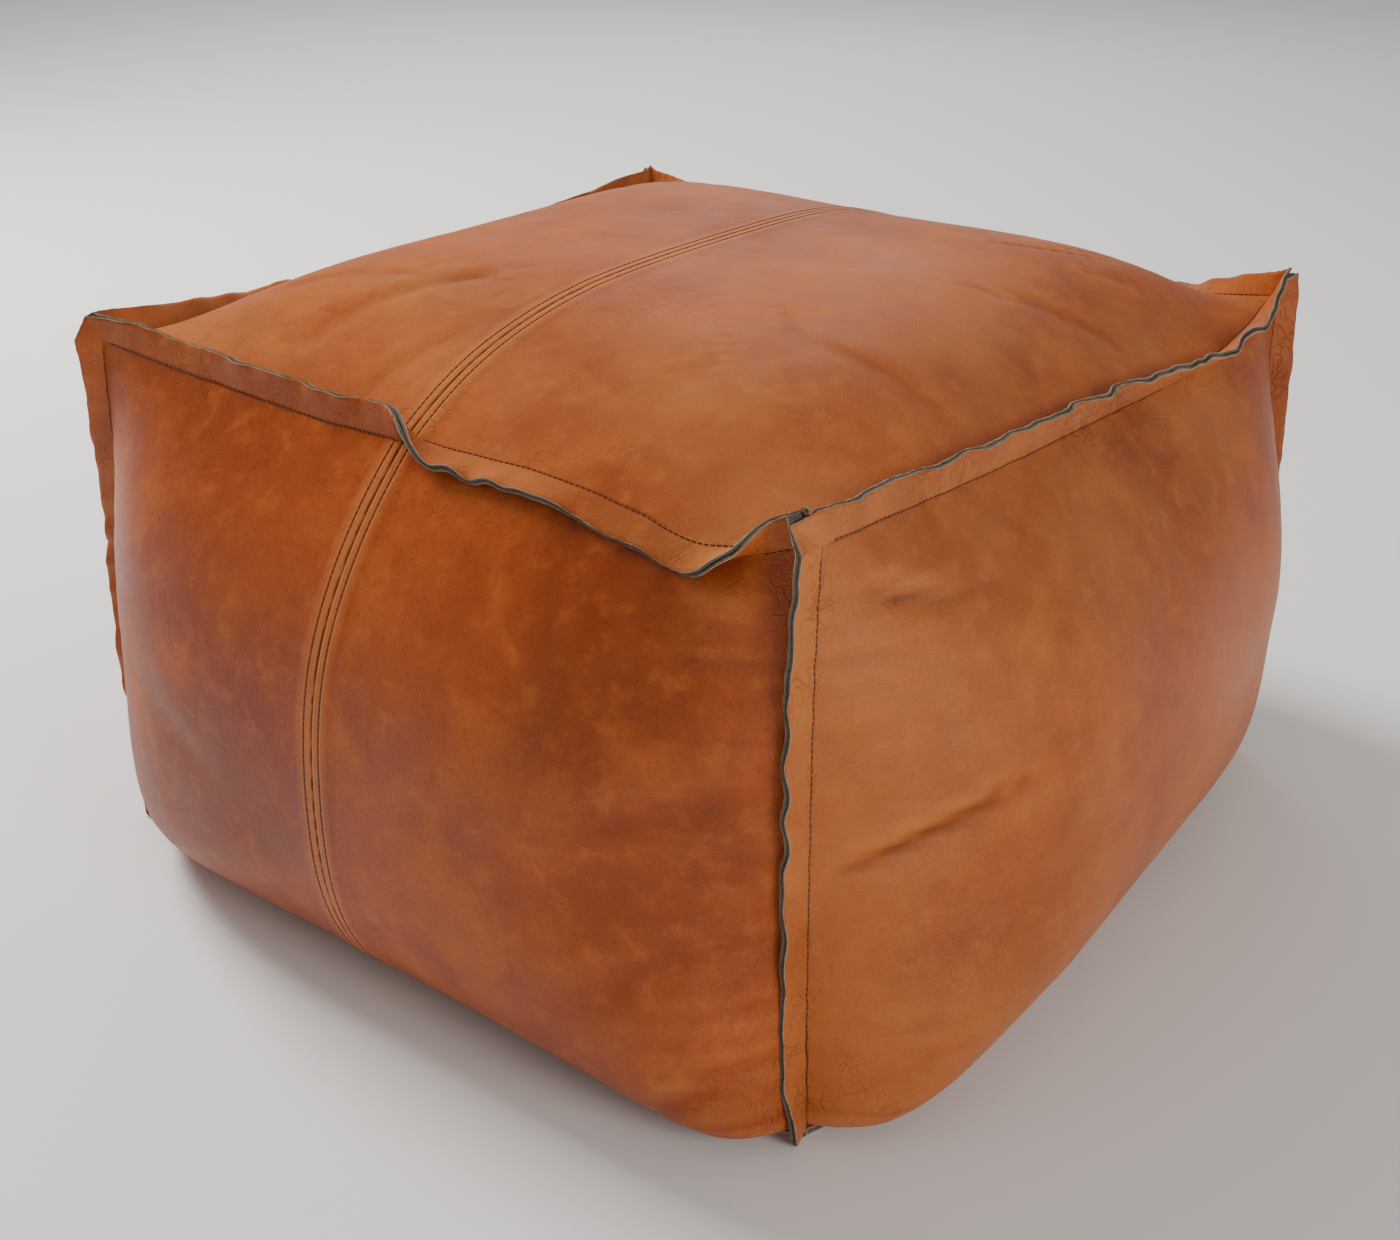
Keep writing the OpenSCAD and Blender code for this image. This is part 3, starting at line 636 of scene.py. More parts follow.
def tan_leather():
    material, tree, skin = new_material("tan_leather")
    n = Nodes(tree)
    place = n.add("TexCoord").outputs["Object"]
    curvature_shading = n.add("Attribute", attribute_name="curvature_shading").outputs["Fac"]
    worn = n.add("Attribute", attribute_name="worn").outputs["Fac"]
    dye = n.add("Group", node_tree=MOTTLE)
    tree.links.new(place, dye.inputs["Vector"])
    dye.inputs["Dark"].default_value = (0.205, 0.028, 0.003, 1)
    dye.inputs["Tan"].default_value = (0.340, 0.060, 0.006, 1)
    dye.inputs["Pale"].default_value = (0.470, 0.112, 0.014, 1)
    wear = n.spread(n.math("ADD", n.math("MULTIPLY", worn, 0.8),
                           n.spread(n.noise(place, 9.0, 2.0), 0.45, 0.7, 0.0, 0.55)), 0.1, 1.0)
    grain = n.add("Group", {"Vector": place, "Wear": wear}, node_tree=GRAIN)
    # Painted light: the faces that the lamps light most are mixed towards a paler tan by the pale
    # attribute, which also makes every flange paler
    paleness = n.math("MULTIPLY", n.add("Attribute", attribute_name="pale").outputs["Fac"],
                      n.spread(n.noise(place, 7.0, 4.0, 0.6), 0.36, 0.64, 0.3, 1.25), clamp=True)
    dye_and_painted_light = n.blend(paleness, dye.outputs["Color"], (0.55, 0.175, 0.042, 1))
    # Painted shade and highlight: hollows of the surface are darkened and its ridges lightened, by its
    # bend
    valley = n.spread(curvature_shading, 0.5, 0.08, 0.0, 0.6)
    ridge = n.spread(curvature_shading, 0.52, 0.85, 0.0, 0.6)
    tone = n.blend(valley, dye_and_painted_light, (0.095, 0.016, 0.003, 1))
    tone = n.blend(ridge, tone, (0.56, 0.18, 0.045, 1))
    tone = n.blend(n.math("MULTIPLY", grain.outputs["Wrinkles"], 0.3), tone,
                   (0.100, 0.018, 0.004, 1))
    tree.links.new(tone, skin.inputs["Base Color"])
    gloss = n.spread(dye.outputs["Patches"], 0.3, 0.7, 0.36, 0.52)
    tree.links.new(gloss, skin.inputs["Roughness"])
    bump = n.add("Bump", {"Height": grain.outputs["Height"], "Strength": 0.55,
                          "Distance": 0.0007})
    tree.links.new(bump.outputs["Normal"], skin.inputs["Normal"])
    skin.inputs["Specular IOR Level"].default_value = 0.28
    skin.inputs["Coat Weight"].default_value = 0.04
    skin.inputs["Coat Roughness"].default_value = 0.3
    return material


def cut_suede():
    material, tree, skin = new_material("cut_suede")
    n = Nodes(tree)
    place = n.add("TexCoord").outputs["Object"]
    rim = n.add("Attribute", attribute_name="rim").outputs["Fac"]
    fibres = n.noise(place, 900.0, 4.0, 0.75)
    patches = n.noise(place, 70.0, 3.0, 0.6)
    tone = n.blend(n.spread(fibres, 0.35, 0.65), (0.045, 0.032, 0.021, 1), (0.150, 0.115, 0.080, 1))
    tone = n.blend(n.spread(patches, 0.4, 0.7, 0.0, 0.5), tone, (0.19, 0.145, 0.10, 1))
    edge = n.math("MULTIPLY", n.spread(rim, 0.25, 0.8), n.spread(fibres, 0.3, 0.6, 0.4, 1.0))
    tone = n.blend(edge, tone, (0.42, 0.33, 0.23, 1))
    tree.links.new(tone, skin.inputs["Base Color"])
    skin.inputs["Roughness"].default_value = 0.92
    bump = n.add("Bump", {"Height": fibres, "Strength": 0.7, "Distance": 0.0008})
    tree.links.new(bump.outputs["Normal"], skin.inputs["Normal"])
    return material


LEATHER_FACE, SUEDE = tan_leather(), cut_suede()

# ---------------------------------------------------------------------------------------------
# The panels. Each is one piece of leather: its field over the filling, and a flange on every
# edge that meets another panel. The field comes from the skin, drawn finer near the seams, and
# the ply gets its thickness and its ragged cut edges here.
# ---------------------------------------------------------------------------------------------
FLANGE_STEPS = np.array([0, 0.06, 0.14, 0.26, 0.4, 0.55, 0.7, 0.85, 1.0])
FIELD_STEP = 3.4 * MM
SEAM_STEPS = np.array([0, 0.8, 1.8, 3.2, 5.0, 7.4]) * MM
FLAT_SEAM_STEPS = np.array([0.12, 0.5, 1.1, 2.0, 3.2, 4.4, 5.5, 6.6, 8.0, 9.6, 11.2, 12.6, 14.2]) * MM


def field_lines(reach, flat_seam=False):
    """Lattice lines from -1 to 1 (or from a flat seam at 0), closer together near the seams."""
    outer = reach - SEAM_STEPS[::-1]
    inner = FLAT_SEAM_STEPS if flat_seam else -outer[::-1]
    gap = outer[0] - inner[-1]
    between = np.linspace(inner[-1], outer[0], max(2, int(round(gap / FIELD_STEP)) + 1))[1:-1]
    return np.concatenate([inner, between, outer]) / reach


def cubic(coarse, fine):
    """Weights that carry values at the even lines coarse to the lines fine, smoothly."""
    count = len(coarse)
    place = np.clip((fine + 1) / 2 * (count - 1), 0, count - 1 - 1e-9)
    i = place.astype(int)
    s = place - i
    weights = np.zeros((len(fine), count))
    rows = np.arange(len(fine))
    for shift, w in ((-1, -0.5 * s + s * s - 0.5 * s ** 3), (0, 1 - 2.5 * s * s + 1.5 * s ** 3),
                     (1, 0.5 * s + 2 * s * s - 1.5 * s ** 3), (2, -0.5 * s * s + 0.5 * s ** 3)):
        at = i + shift
        low, high = at < 0, at > count - 1
        inside = ~(low | high)
        np.add.at(weights, (rows[inside], at[inside]), w[inside])
        for out, near, next_in in ((low, 0, 1), (high, count - 1, count - 2)):
            np.add.at(weights, (rows[out], np.full(out.sum(), near)), 2 * w[out])
            np.add.at(weights, (rows[out], np.full(out.sum(), next_in)), -w[out])
    return weights


def lattice_normals(grid):
    along_u, along_v = np.gradient(grid, axis=0), np.gradient(grid, axis=1)
    return unit(np.cross(along_u, along_v))


# The sides turn straight up from the base seam, over its flange, before they swell outwards
TUCK = 4.6 * MM


def field(face, u, v):
    """The finished surface of a face at any lattice lines, led exactly into its seams."""
    coarse_v = across if face == "top" else upright
    wide, high = cubic(across, u), cubic(coarse_v, v)
    grid = np.einsum("ia,jb,abk->ijk", wide, high, skins[face])
    low_v, high_v, low_u, high_u = faces[face]
    reach_v = reach(face)
    fade = 6 * MM
    for side, lines, weights, edge, off in (
            (low_v, u, wide, skins[face][:, 0], (v + 1) * reach_v),
            (high_v, u, wide, skins[face][:, -1], (1 - v) * reach_v)):
        miss = side.line(lines) - weights @ edge
        grid += miss[:, None] * np.exp(-off / fade)[None, :, None]
    for side, lines, weights, edge, off in (
            (low_u, v, high, skins[face][0], (u + 1) * half),
            (high_u, v, high, skins[face][-1], (1 - u) * half)):
        miss = side.line(lines) - weights @ edge
        miss[0] *= 0
        miss[-1] *= 0
        grid += miss[None] * np.exp(-off / fade)[:, None, None]
    if face != "top":
        height = (v + 1) * reach_v
        grid[..., 2] += TUCK * (1 - np.exp(-height / (0.6 * MM))) * np.exp(-height / (24 * MM))
    return grid


# The ears: where the tip of a panel's corner lies beyond the corner of the seams, in mm
EARS = {
    ("top", 1, -1): (-5, -7, 18), ("front", 1, 1): (-8, -11, 15.5), ("right", -1, 1): (-7, -14, 12),
    ("top", -1, -1): (-4, -4, 16), ("front", -1, 1): (-6, -6, 15), ("left", 1, 1): (-8, -4, 14),
    ("top", 1, 1): (7, 8, 18), ("right", 1, 1): (10, 8, 16), ("back", -1, 1): (8, 10, 15),
    ("top", -1, 1): (-5, 7, 18), ("back", 1, 1): (-6, 9, 16), ("left", -1, 1): (-8, 7, 16),
}
BASE_EAR = 4


def ear(face, u, v, corner):
    if (face, u, v) in EARS:
        return np.array(EARS[face, u, v]) * MM
    return np.sign(corner) * (1, 1, 0) * BASE_EAR * MM


def with_flanges(face, inner, flanges):
    """Joins the plane between plies over the field with its flanges, each None or an array of
    (line, step, place), in the order low v, high v, low u and high u. Also tells which of the
    lattice lines belong to the field (0) or to a flange (-1 or 1)."""
    nu, nv = inner.shape[:2]
    count = len(FLANGE_STEPS) - 1
    pad = [0 if flange is None else count for flange in flanges]
    grid = np.zeros((nu + pad[2] + pad[3], nv + pad[0] + pad[1], 3))
    columns, rows = slice(pad[2], pad[2] + nu), slice(pad[0], pad[0] + nv)
    grid[columns, rows] = inner
    low_v, high_v, low_u, high_u = flanges
    if low_v is not None:
        grid[columns, :count] = low_v[:, :0:-1]
    if high_v is not None:
        grid[columns, -count:] = high_v[:, 1:]
    if low_u is not None:
        grid[:count, rows] = low_u[:, :0:-1].transpose(1, 0, 2)
    if high_u is not None:
        grid[-count:, rows] = high_u[:, 1:].transpose(1, 0, 2)
    steps = FLANGE_STEPS[1:]
    for end_u, flange_u in ((-1, low_u), (1, high_u)):
        for end_v, flange_v in ((-1, low_v), (1, high_v)):
            if flange_u is None or flange_v is None:
                continue
            i = columns.stop - 1 if end_u > 0 else columns.start
            j = rows.stop - 1 if end_v > 0 else rows.start
            corner = grid[i, j].copy()
            tip = ear(face, end_u, end_v, corner)
            raw_u, raw_v = grid[i + end_u * count, j] - corner, grid[i, j + end_v * count] - corner
            for a, s in enumerate(steps):
                for b, t in enumerate(steps):
                    raw = raw_u if s > t else raw_v
                    grid[i + end_u * (a + 1), j + end_v * (b + 1)] = (
                        corner + abs(s - t) * raw + min(s, t) * tip)
    off_u = np.concatenate([-np.ones(pad[2]), np.zeros(nu), np.ones(pad[3])])
    off_v = np.concatenate([-np.ones(pad[0]), np.zeros(nv), np.ones(pad[1])])
    return grid, off_u, off_v


def stand_off(grid):
    """At each lattice point, the step that lifts the surface by one unit off its faces."""
    a, b, c, d = grid[:-1, :-1], grid[1:, :-1], grid[1:, 1:], grid[:-1, 1:]
    facing = unit(np.cross(c - a, d - b))
    total = np.zeros_like(grid)
    for i in (slice(0, -1), slice(1, None)):
        for j in (slice(0, -1), slice(1, None)):
            total[i, j] += facing
    normal = unit(total)
    lean, count = np.zeros(grid.shape[:2]), np.zeros(grid.shape[:2])
    for i in (slice(0, -1), slice(1, None)):
        for j in (slice(0, -1), slice(1, None)):
            lean[i, j] += (normal[i, j] * facing).sum(-1)
            count[i, j] += 1
    return normal / np.clip(lean / count, 0.62, 1)[..., None]


TOPSTITCH = 5.5


def flat_seam_ridge(off):
    """Height of the leather beside a flat seam: the turned edge dips into the join, the turned
    allowance lifts the strip beside it, and the topstitching pulls a shallow line into it."""
    x = off / MM
    return MM * (0.5 / (1 + np.exp((x - 11.6) / 1.1)) - 1.1 * np.exp(-(x / 0.8) ** 2)
                 - 0.4 * np.exp(-((x - TOPSTITCH) / 0.8) ** 2))


# Painted light: how much paler each face is drawn, the top and the right face most, as the lamps light
# them most brightly
LIT_FACE_PALENESS = {"top": 0.44, "front": 0.03, "right": 0.42, "back": 0.2, "left": 0.15, "base": 0.0}


def make_ply(name, face, grid, off_u, off_v, lift):
    """A closed ply of leather over the lattice: outer face, flesh side and ragged cut edges."""
    step = stand_off(grid)
    nu, nv = grid.shape[:2]
    on_flange = (np.abs(off_u)[:, None] + np.abs(off_v)[None]) > 0
    spread = np.where(on_flange, 1.0, 0.0)
    low = grid + step * (PLY_GAP + 0.12 * MM * spread)[..., None]
    high = low + step * (LEATHER + lift)[..., None]
    numbers = np.arange(nu * nv).reshape(nu, nv)
    rim = np.concatenate([numbers[:-1, 0], numbers[-1, :-1], numbers[:0:-1, -1], numbers[0, :0:-1]])
    draw = np.random.default_rng(len(name) + nu)
    out = np.zeros_like(grid)
    out[0], out[-1] = grid[0] - grid[1], grid[-1] - grid[-2]
    out[:, 0] += grid[:, 0] - grid[:, 1]
    out[:, -1] += grid[:, -1] - grid[:, -2]
    out = unit(out).reshape(-1, 3)[rim]
    middle = (low.reshape(-1, 3)[rim] + high.reshape(-1, 3)[rim]) / 2
    middle += out * draw.uniform(0.05, 0.4, (len(rim), 1)) * MM
    ragged = draw.normal(0, 0.12, (len(rim), 1)) * MM
    high_points, low_points = high.reshape(-1, 3), low.reshape(-1, 3)
    high_points[rim] += out * ragged
    low_points[rim] += out * draw.normal(0, 0.15, (len(rim), 1)) * MM
    points = np.concatenate([high_points, low_points, middle])
    points[:, 2] = np.maximum(points[:, 2], 0)
    upper = lattice_faces(numbers)
    lower = lattice_faces(numbers)[:, ::-1] + nu * nv
    ring = np.arange(len(rim)) + 2 * nu * nv
    after, ring_after = np.roll(rim, -1), np.roll(ring, -1)
    strips = [np.stack([rim, ring, ring_after, after], axis=1),
              np.stack([ring, rim + nu * nv, after + nu * nv, ring_after], axis=1)]
    piece = new_piece(name, points, np.concatenate([upper, lower] + strips))
    mesh = piece.data
    mesh.materials.append(LEATHER_FACE)
    mesh.materials.append(SUEDE)
    slots = np.ones(len(mesh.polygons), int)
    slots[:len(upper)] = 0
    mesh.polygons.foreach_set("material_index", slots)
    mesh.polygons.foreach_set("use_smooth", np.ones(len(mesh.polygons), bool))
    normal = lattice_normals(high)
    flat = np.zeros((nu, nv))
    for axis in (0, 1):
        before, behind = np.roll(high, 1, axis), np.roll(high, -1, axis)
        gap = (np.linalg.norm(high - before, axis=-1) * np.linalg.norm(high - behind, axis=-1))
        flat += ((2 * high - before - behind) * normal).sum(-1) / np.maximum(gap, 1e-9)
    flat[0], flat[-1], flat[:, 0], flat[:, -1] = flat[1], flat[-2], flat[:, 1], flat[:, -2]
    # Painted shade and highlight: the bend of the outer face, 0.5 where flat, lower in hollows, which
    # the leather darkens, and higher on ridges, which it lightens; flanges are held just below flat
    curve_shade = np.where(on_flange, 0.45, np.clip(0.5 + flat / 320, 0, 1))
    # How much paler each point is drawn: the painted light on its face, and 0.22 more on every flange
    hide = np.where(on_flange, 0.22, 0.0) + LIT_FACE_PALENESS[face]
    shades = {"curvature_shading": np.concatenate([curve_shade.ravel(), curve_shade.ravel(), np.full(len(rim), 0.5)]),
              "worn": np.concatenate([seam_wear(grid, off_u, off_v)] * 2 + [np.ones(len(rim))]),
              "rim": np.concatenate([np.full(nu * nv, 1.0), np.full(nu * nv + len(rim), 0.0)]),
              "pale": np.concatenate([hide.ravel(), hide.ravel(), np.zeros(len(rim))])}
    for label, values in shades.items():
        mesh.attributes.new(label, "FLOAT", "POINT").data.foreach_set("value", values)
    mesh.validate()
    return piece


def seam_wear(grid, off_u, off_v):
    """How creased the leather is by the sewing: strong beside a seam and fading into the field."""
    nu, nv = grid.shape[:2]
    i, j = np.arange(nu)[:, None], np.arange(nv)[None]
    first_u, last_u = np.flatnonzero(off_u == 0)[[0, -1]]
    first_v, last_v = np.flatnonzero(off_v == 0)[[0, -1]]
    off = np.minimum(np.minimum(i - first_u + 99 * (off_u[0] == 0), last_u - i + 0 * j),
                     np.minimum(j - first_v + 0 * i, last_v - j))
    wear = np.exp(-np.clip(off, 0, 99) / 7.0) * 0.8
    for corner in (grid[first_u, first_v], grid[first_u, last_v], grid[last_u, first_v],
                   grid[last_u, last_v]):
        near = np.linalg.norm(grid - corner, axis=-1)
        wear = np.maximum(wear, 0.7 * np.exp(-(near / (75 * MM)) ** 2))
    return wear.ravel()


def finish_piece(piece, body, slot, *nodes):
    """Every piece rides with its body, and stands for the CAD nodes of its shape."""
    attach(piece, body)
    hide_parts(*nodes)
    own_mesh(piece)


half_u, whole_u = field_lines(half, flat_seam=True), field_lines(half)
side_v, top_v = field_lines(seam_z / 2), field_lines(half)
# Each panel's face, whether it is the part at low u or high u (0 for a whole one), its body, and
# the width and length it was cut to
PANELS = {
    "top_panel_right": ("top", 1, "seat", (0.287, 0.552)),
    "top_panel_left": ("top", -1, "seat", (0.287, 0.552)),
    "front_panel_right": ("front", 1, "cover", (0.318, 0.422)),
    "front_panel_left": ("front", -1, "cover", (0.318, 0.422)),
    "back_panel_left": ("back", 1, "cover", (0.318, 0.422)),
    "back_panel_right": ("back", -1, "cover", (0.318, 0.422)),
    "right_panel": ("right", 0, "cover", (0.618, 0.422)),
    "left_panel": ("left", 0, "cover", (0.618, 0.422)),
}
for name, (face, part, body, flat) in PANELS.items():
    u = whole_u if part == 0 else half_u if part > 0 else -half_u[::-1]
    v = top_v if face == "top" else side_v
    low_v, high_v, low_u, high_u = faces[face]
    flanges = [low_v.flange(u, FLANGE_STEPS), high_v.flange(u, FLANGE_STEPS),
               None if part > 0 else low_u.flange(v, FLANGE_STEPS),
               None if part < 0 else high_u.flange(v, FLANGE_STEPS)]
    grid, off_u, off_v = with_flanges(face, field(face, u, v), flanges)
    lift = np.zeros(grid.shape[:2])
    if part != 0:
        lift[off_u == 0] = flat_seam_ridge(np.abs(u) * half)[:, None]
    piece = make_ply(name + "_leather", face, grid, off_u, off_v, lift)
    finish_piece(piece, body, "leather", name)

# ---------------------------------------------------------------------------------------------
# The base: two half panels of the same leather on the floor. Their middle edges are turned up
# into lips that hold the zip clear of the floor, and beyond the zip they are simply joined.
# ---------------------------------------------------------------------------------------------
zip_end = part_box("zip_tape_back")[1][0] + 8 * MM
CLOSED_Y = np.array([0.15, 2, 4, 6, 8, 10, 12.5, 15.5, 20])
OPEN_Y = np.array([7, 7.8, 9, 10.4, 11.8, 13.2, 14.6, 16.6, 20])
OPEN_RISE = np.array([4, 3.85, 3.2, 2.35, 1.5, 0.65, 0.1, 0, 0])


def base_place(u, w, way):
    """A place on the base from the middle (w 0) to the seam (w 1), on the side way of it."""
    width = half + BASE_BOW * MM * (1 - w * w)
    length = half + BASE_BOW * MM * (1 - u * u)
    return np.stack([u * width, way * w * length, np.full_like(u * w, base_z)], axis=-1)


near_zip = np.array([-8, -5, -2.5, 0, 2.5, 5, 8]) * MM
base_u = np.unique(np.round(np.concatenate([
    whole_u[(np.abs(whole_u * half) < zip_end - 10 * MM) | (np.abs(whole_u * half) > zip_end + 10 * MM)],
    (zip_end + near_zip) / half, -(zip_end + near_zip) / half]), 6))
for name, way in (("base_panel_front", -1), ("base_panel_back", 1)):
    u = base_u if way < 0 else base_u[::-1]
    outer_w = field_lines(half)
    outer_w = outer_w[outer_w * half > 24 * MM]
    inner = base_place(u[:, None], outer_w[None], way)
    seam = seams["base_front" if way < 0 else "base_back"]
    inner[:, -1] = seam.line(u)
    opened = 1 / (1 + np.exp((np.abs(u) * half - zip_end) / (0.9 * MM)))[:, None]
    lip = np.zeros((len(u), len(OPEN_Y), 3))
    lip[..., 0] = u[:, None] * (half + BASE_BOW * MM)
    lip[..., 1] = way * (opened * OPEN_Y + (1 - opened) * CLOSED_Y) * MM
    lip[..., 2] = base_z + opened * OPEN_RISE * MM
    w = np.concatenate([CLOSED_Y * MM / half, outer_w])
    ends = [seams["base_left"], seams["base_right"]]
    low_u, high_u = ends if way < 0 else ends[::-1]
    flanges = [None, seam.flange(u, FLANGE_STEPS), low_u.flange(way * w, FLANGE_STEPS),
               high_u.flange(way * w, FLANGE_STEPS)]
    inner = np.concatenate([lip, inner], axis=1)
    inner[0], inner[-1] = low_u.line(way * w), high_u.line(way * w)
    grid, off_u, off_v = with_flanges("base", inner, flanges)
    piece = make_ply(name + "_leather", "base", grid, off_u, off_v, np.zeros(grid.shape[:2]))
    finish_piece(piece, "cover", "leather", name)

# ---------------------------------------------------------------------------------------------
# The sewing: waxed dark brown thread, one lockstitch at a time. It runs along the fold of every
# flange, on both of its faces, in two rows beside the flat seams, and along the zip's lips.
# ---------------------------------------------------------------------------------------------
PITCH = 3.5 * MM
THREAD_R = 0.4 * MM


def waxed_thread():
    material, tree, skin = new_material("waxed_thread")
    n = Nodes(tree)
    place = n.add("TexCoord").outputs["Object"]
    fibres = n.noise(place, 1500.0, 3.0, 0.7)
    uneven = n.noise(place, 60.0, 2.0)
    tone = n.blend(n.spread(fibres, 0.35, 0.65), (0.055, 0.012, 0.005, 1), (0.135, 0.034, 0.012, 1))
    tone = n.blend(n.spread(uneven, 0.5, 0.7, 0.0, 0.5), tone, (0.17, 0.055, 0.022, 1))
    tree.links.new(tone, skin.inputs["Base Color"])
    skin.inputs["Roughness"].default_value = 0.6
    bump = n.add("Bump", {"Height": fibres, "Strength": 0.5, "Distance": 0.0003})
    tree.links.new(bump.outputs["Normal"], skin.inputs["Normal"])
    return material


THREAD = waxed_thread()
# One stitch: (place along it, height above the leather, radius), as shares of pitch and radius
STITCH = np.array([(-0.44, -0.9, 0.5), (-0.3, 0.1, 0.95), (0, 0.4, 1.0), (0.3, 0.1, 0.95),
                   (0.44, -0.9, 0.5)])
STITCH_SIDES = 5


def along_row(values, run, places):
    """Values given at the lengths run along a row, carried to other places along it."""
    return np.stack([np.interp(places, run, values[:, k]) for k in range(3)], axis=1)


def stitches(rows):
    """Points and faces of the stitches along rows, each an array of places and one of the
    leather's outward directions."""
    turn = np.arange(STITCH_SIDES) * 2 * math.pi / STITCH_SIDES
    rings = len(STITCH)
    points, quads, start = [], [], 0
    template = []
    for r in range(rings - 1):
        for k in range(STITCH_SIDES):
            a, b = r * STITCH_SIDES + k, r * STITCH_SIDES + (k + 1) % STITCH_SIDES
            template.append((a, a + STITCH_SIDES, b + STITCH_SIDES, b))
    template = np.array(template)
    caps = [np.arange(STITCH_SIDES), (rings - 1) * STITCH_SIDES + np.arange(STITCH_SIDES)[::-1]]
    ends = []
    for places, outward in rows:
        run = np.concatenate([[0], np.cumsum(np.linalg.norm(np.diff(places, axis=0), axis=1))])
        count = int(run[-1] / PITCH)
        middles = (np.arange(count) + 0.5) * run[-1] / count
        centre, out = along_row(places, run, middles), unit(along_row(outward, run, middles))
        reach_on = along_row(places, run, middles + 0.4 * PITCH)
        reach_back = along_row(places, run, middles - 0.4 * PITCH)
        along = unit(reach_on - reach_back)
        out = unit(out - along * (out * along).sum(1, keepdims=True))
        beside = np.cross(along, out)
        forth = (STITCH[:, 0] * PITCH)[None, :, None, None]
        height = THREAD_R * (STITCH[:, 1][:, None] + STITCH[:, 2][:, None] * np.cos(turn))
        breadth = THREAD_R * STITCH[:, 2][:, None] * np.sin(turn)
        ring = (centre[:, None, None] + along[:, None, None] * forth
                + out[:, None, None] * height[None, :, :, None]
                + beside[:, None, None] * breadth[None, :, :, None])
        points.append(ring.reshape(-1, 3))
        firsts = start + np.arange(count) * rings * STITCH_SIDES
        quads.append((firsts[:, None, None] + template[None]).reshape(-1, 4))
        for cap in caps:
            ends.append(firsts[:, None] + cap[None])
        start += count * rings * STITCH_SIDES
    return np.concatenate(points), list(np.concatenate(quads)) + list(np.concatenate(ends))


def sewing(name, rows, body, node):
    points, polygons = stitches(rows)
    piece = new_piece(name, points, polygons)
    piece.data.materials.append(THREAD)
    piece.data.polygons.foreach_set("use_smooth", np.ones(len(piece.data.polygons), bool))
    finish_piece(piece, body, "thread", node)


def flange_rows(seam):
    """The two rows of a seam, on either face of its flange, just beyond the fold."""
    t = np.linspace(-0.965, 0.965, 300)
    strip = seam.flange(t, np.array([0.05, 0.11, 0.17]))
    line = seam.line(t)
    root = strip[:, 0] - line
    strip = strip + (unit(root) * 0.05 * seam.width)[:, None]
    out = unit(np.cross(np.gradient(strip[:, 1], axis=0), strip[:, 2] - strip[:, 0]))
    if (out[150] * (seam.side_b - seam.side_a)).sum() < 0:
        out = -out
    lift = LEATHER + PLY_GAP + 0.2 * MM
    return [(strip[:, 1] + out * lift, out), (strip[:, 1] - out * lift, -out)]


def topstitch_rows(face):
    """The two rows of a flat seam, each side of its join."""
    rows = []
    v = np.linspace(-0.985, 0.985, 300)
    for side in (-1, 1):
        u = np.sort(side * np.array([TOPSTITCH - 0.6, TOPSTITCH, TOPSTITCH + 0.6]) * MM / half)
        strip = field(face, u, v)
        out = lattice_normals(strip)[1]
        lift = LEATHER + PLY_GAP + flat_seam_ridge(TOPSTITCH * MM) + 0.1 * MM
        rows.append((strip[1] + out * lift, out))
    return rows


for names, piece_name, body, node in (
        (("top_front", "top_right", "top_back", "top_left"), "top_flange_stitches", "seat",
         "top_edge_stitching"),
        (("corner_front_left", "corner_front_right", "corner_back_right", "corner_back_left"),
         "corner_flange_stitches", "cover", "corner_stitching"),
        (("base_front", "base_right", "base_back", "base_left"), "base_flange_stitches", "cover",
         "base_edge_stitching")):
    sewing(piece_name, [row for name in names for row in flange_rows(seams[name])], body, node)
sewing("top_topstitch", topstitch_rows("top"), "seat", "top_seam_stitching")
sewing("front_topstitch", topstitch_rows("front"), "cover", "front_seam_stitching")
sewing("back_topstitch", topstitch_rows("back"), "cover", "back_seam_stitching")

LIP_SLOPE = math.atan2(4, 7.5)
zip_rows = []
row_x = np.linspace(-zip_end + 12 * MM, zip_end - 12 * MM, 200)
for way in (-1, 1):
    down = np.array([0, -way * math.sin(LIP_SLOPE), -math.cos(LIP_SLOPE)])
    on_lip = np.stack([row_x, np.full(200, way * 10.75 * MM), np.full(200, base_z + 2.1 * MM)], 1)
    zip_rows.append((on_lip + down * (LEATHER + PLY_GAP + 0.15 * MM), np.tile(down, (200, 1))))
    on_tape = np.stack([row_x, np.full(200, way * 10.75 * MM), np.full(200, 6.4 * MM)], 1)
    zip_rows.append((on_tape, np.tile((0, 0, 1.0), (200, 1))))
sewing("zip_stitches", zip_rows, "cover", "zip_stitching")

# ---------------------------------------------------------------------------------------------
# The inner bag: unbleached cotton, sewn closed round the filling so that the cover can be taken
# off. It is pressed against the leather all round and arches over the zip.
# ---------------------------------------------------------------------------------------------
BAG_SLACK = 5 * MM
BAG_T = 1 * MM
BAG_FLOOR = 4.2 * MM
ZIP_ARCH = 7 * MM


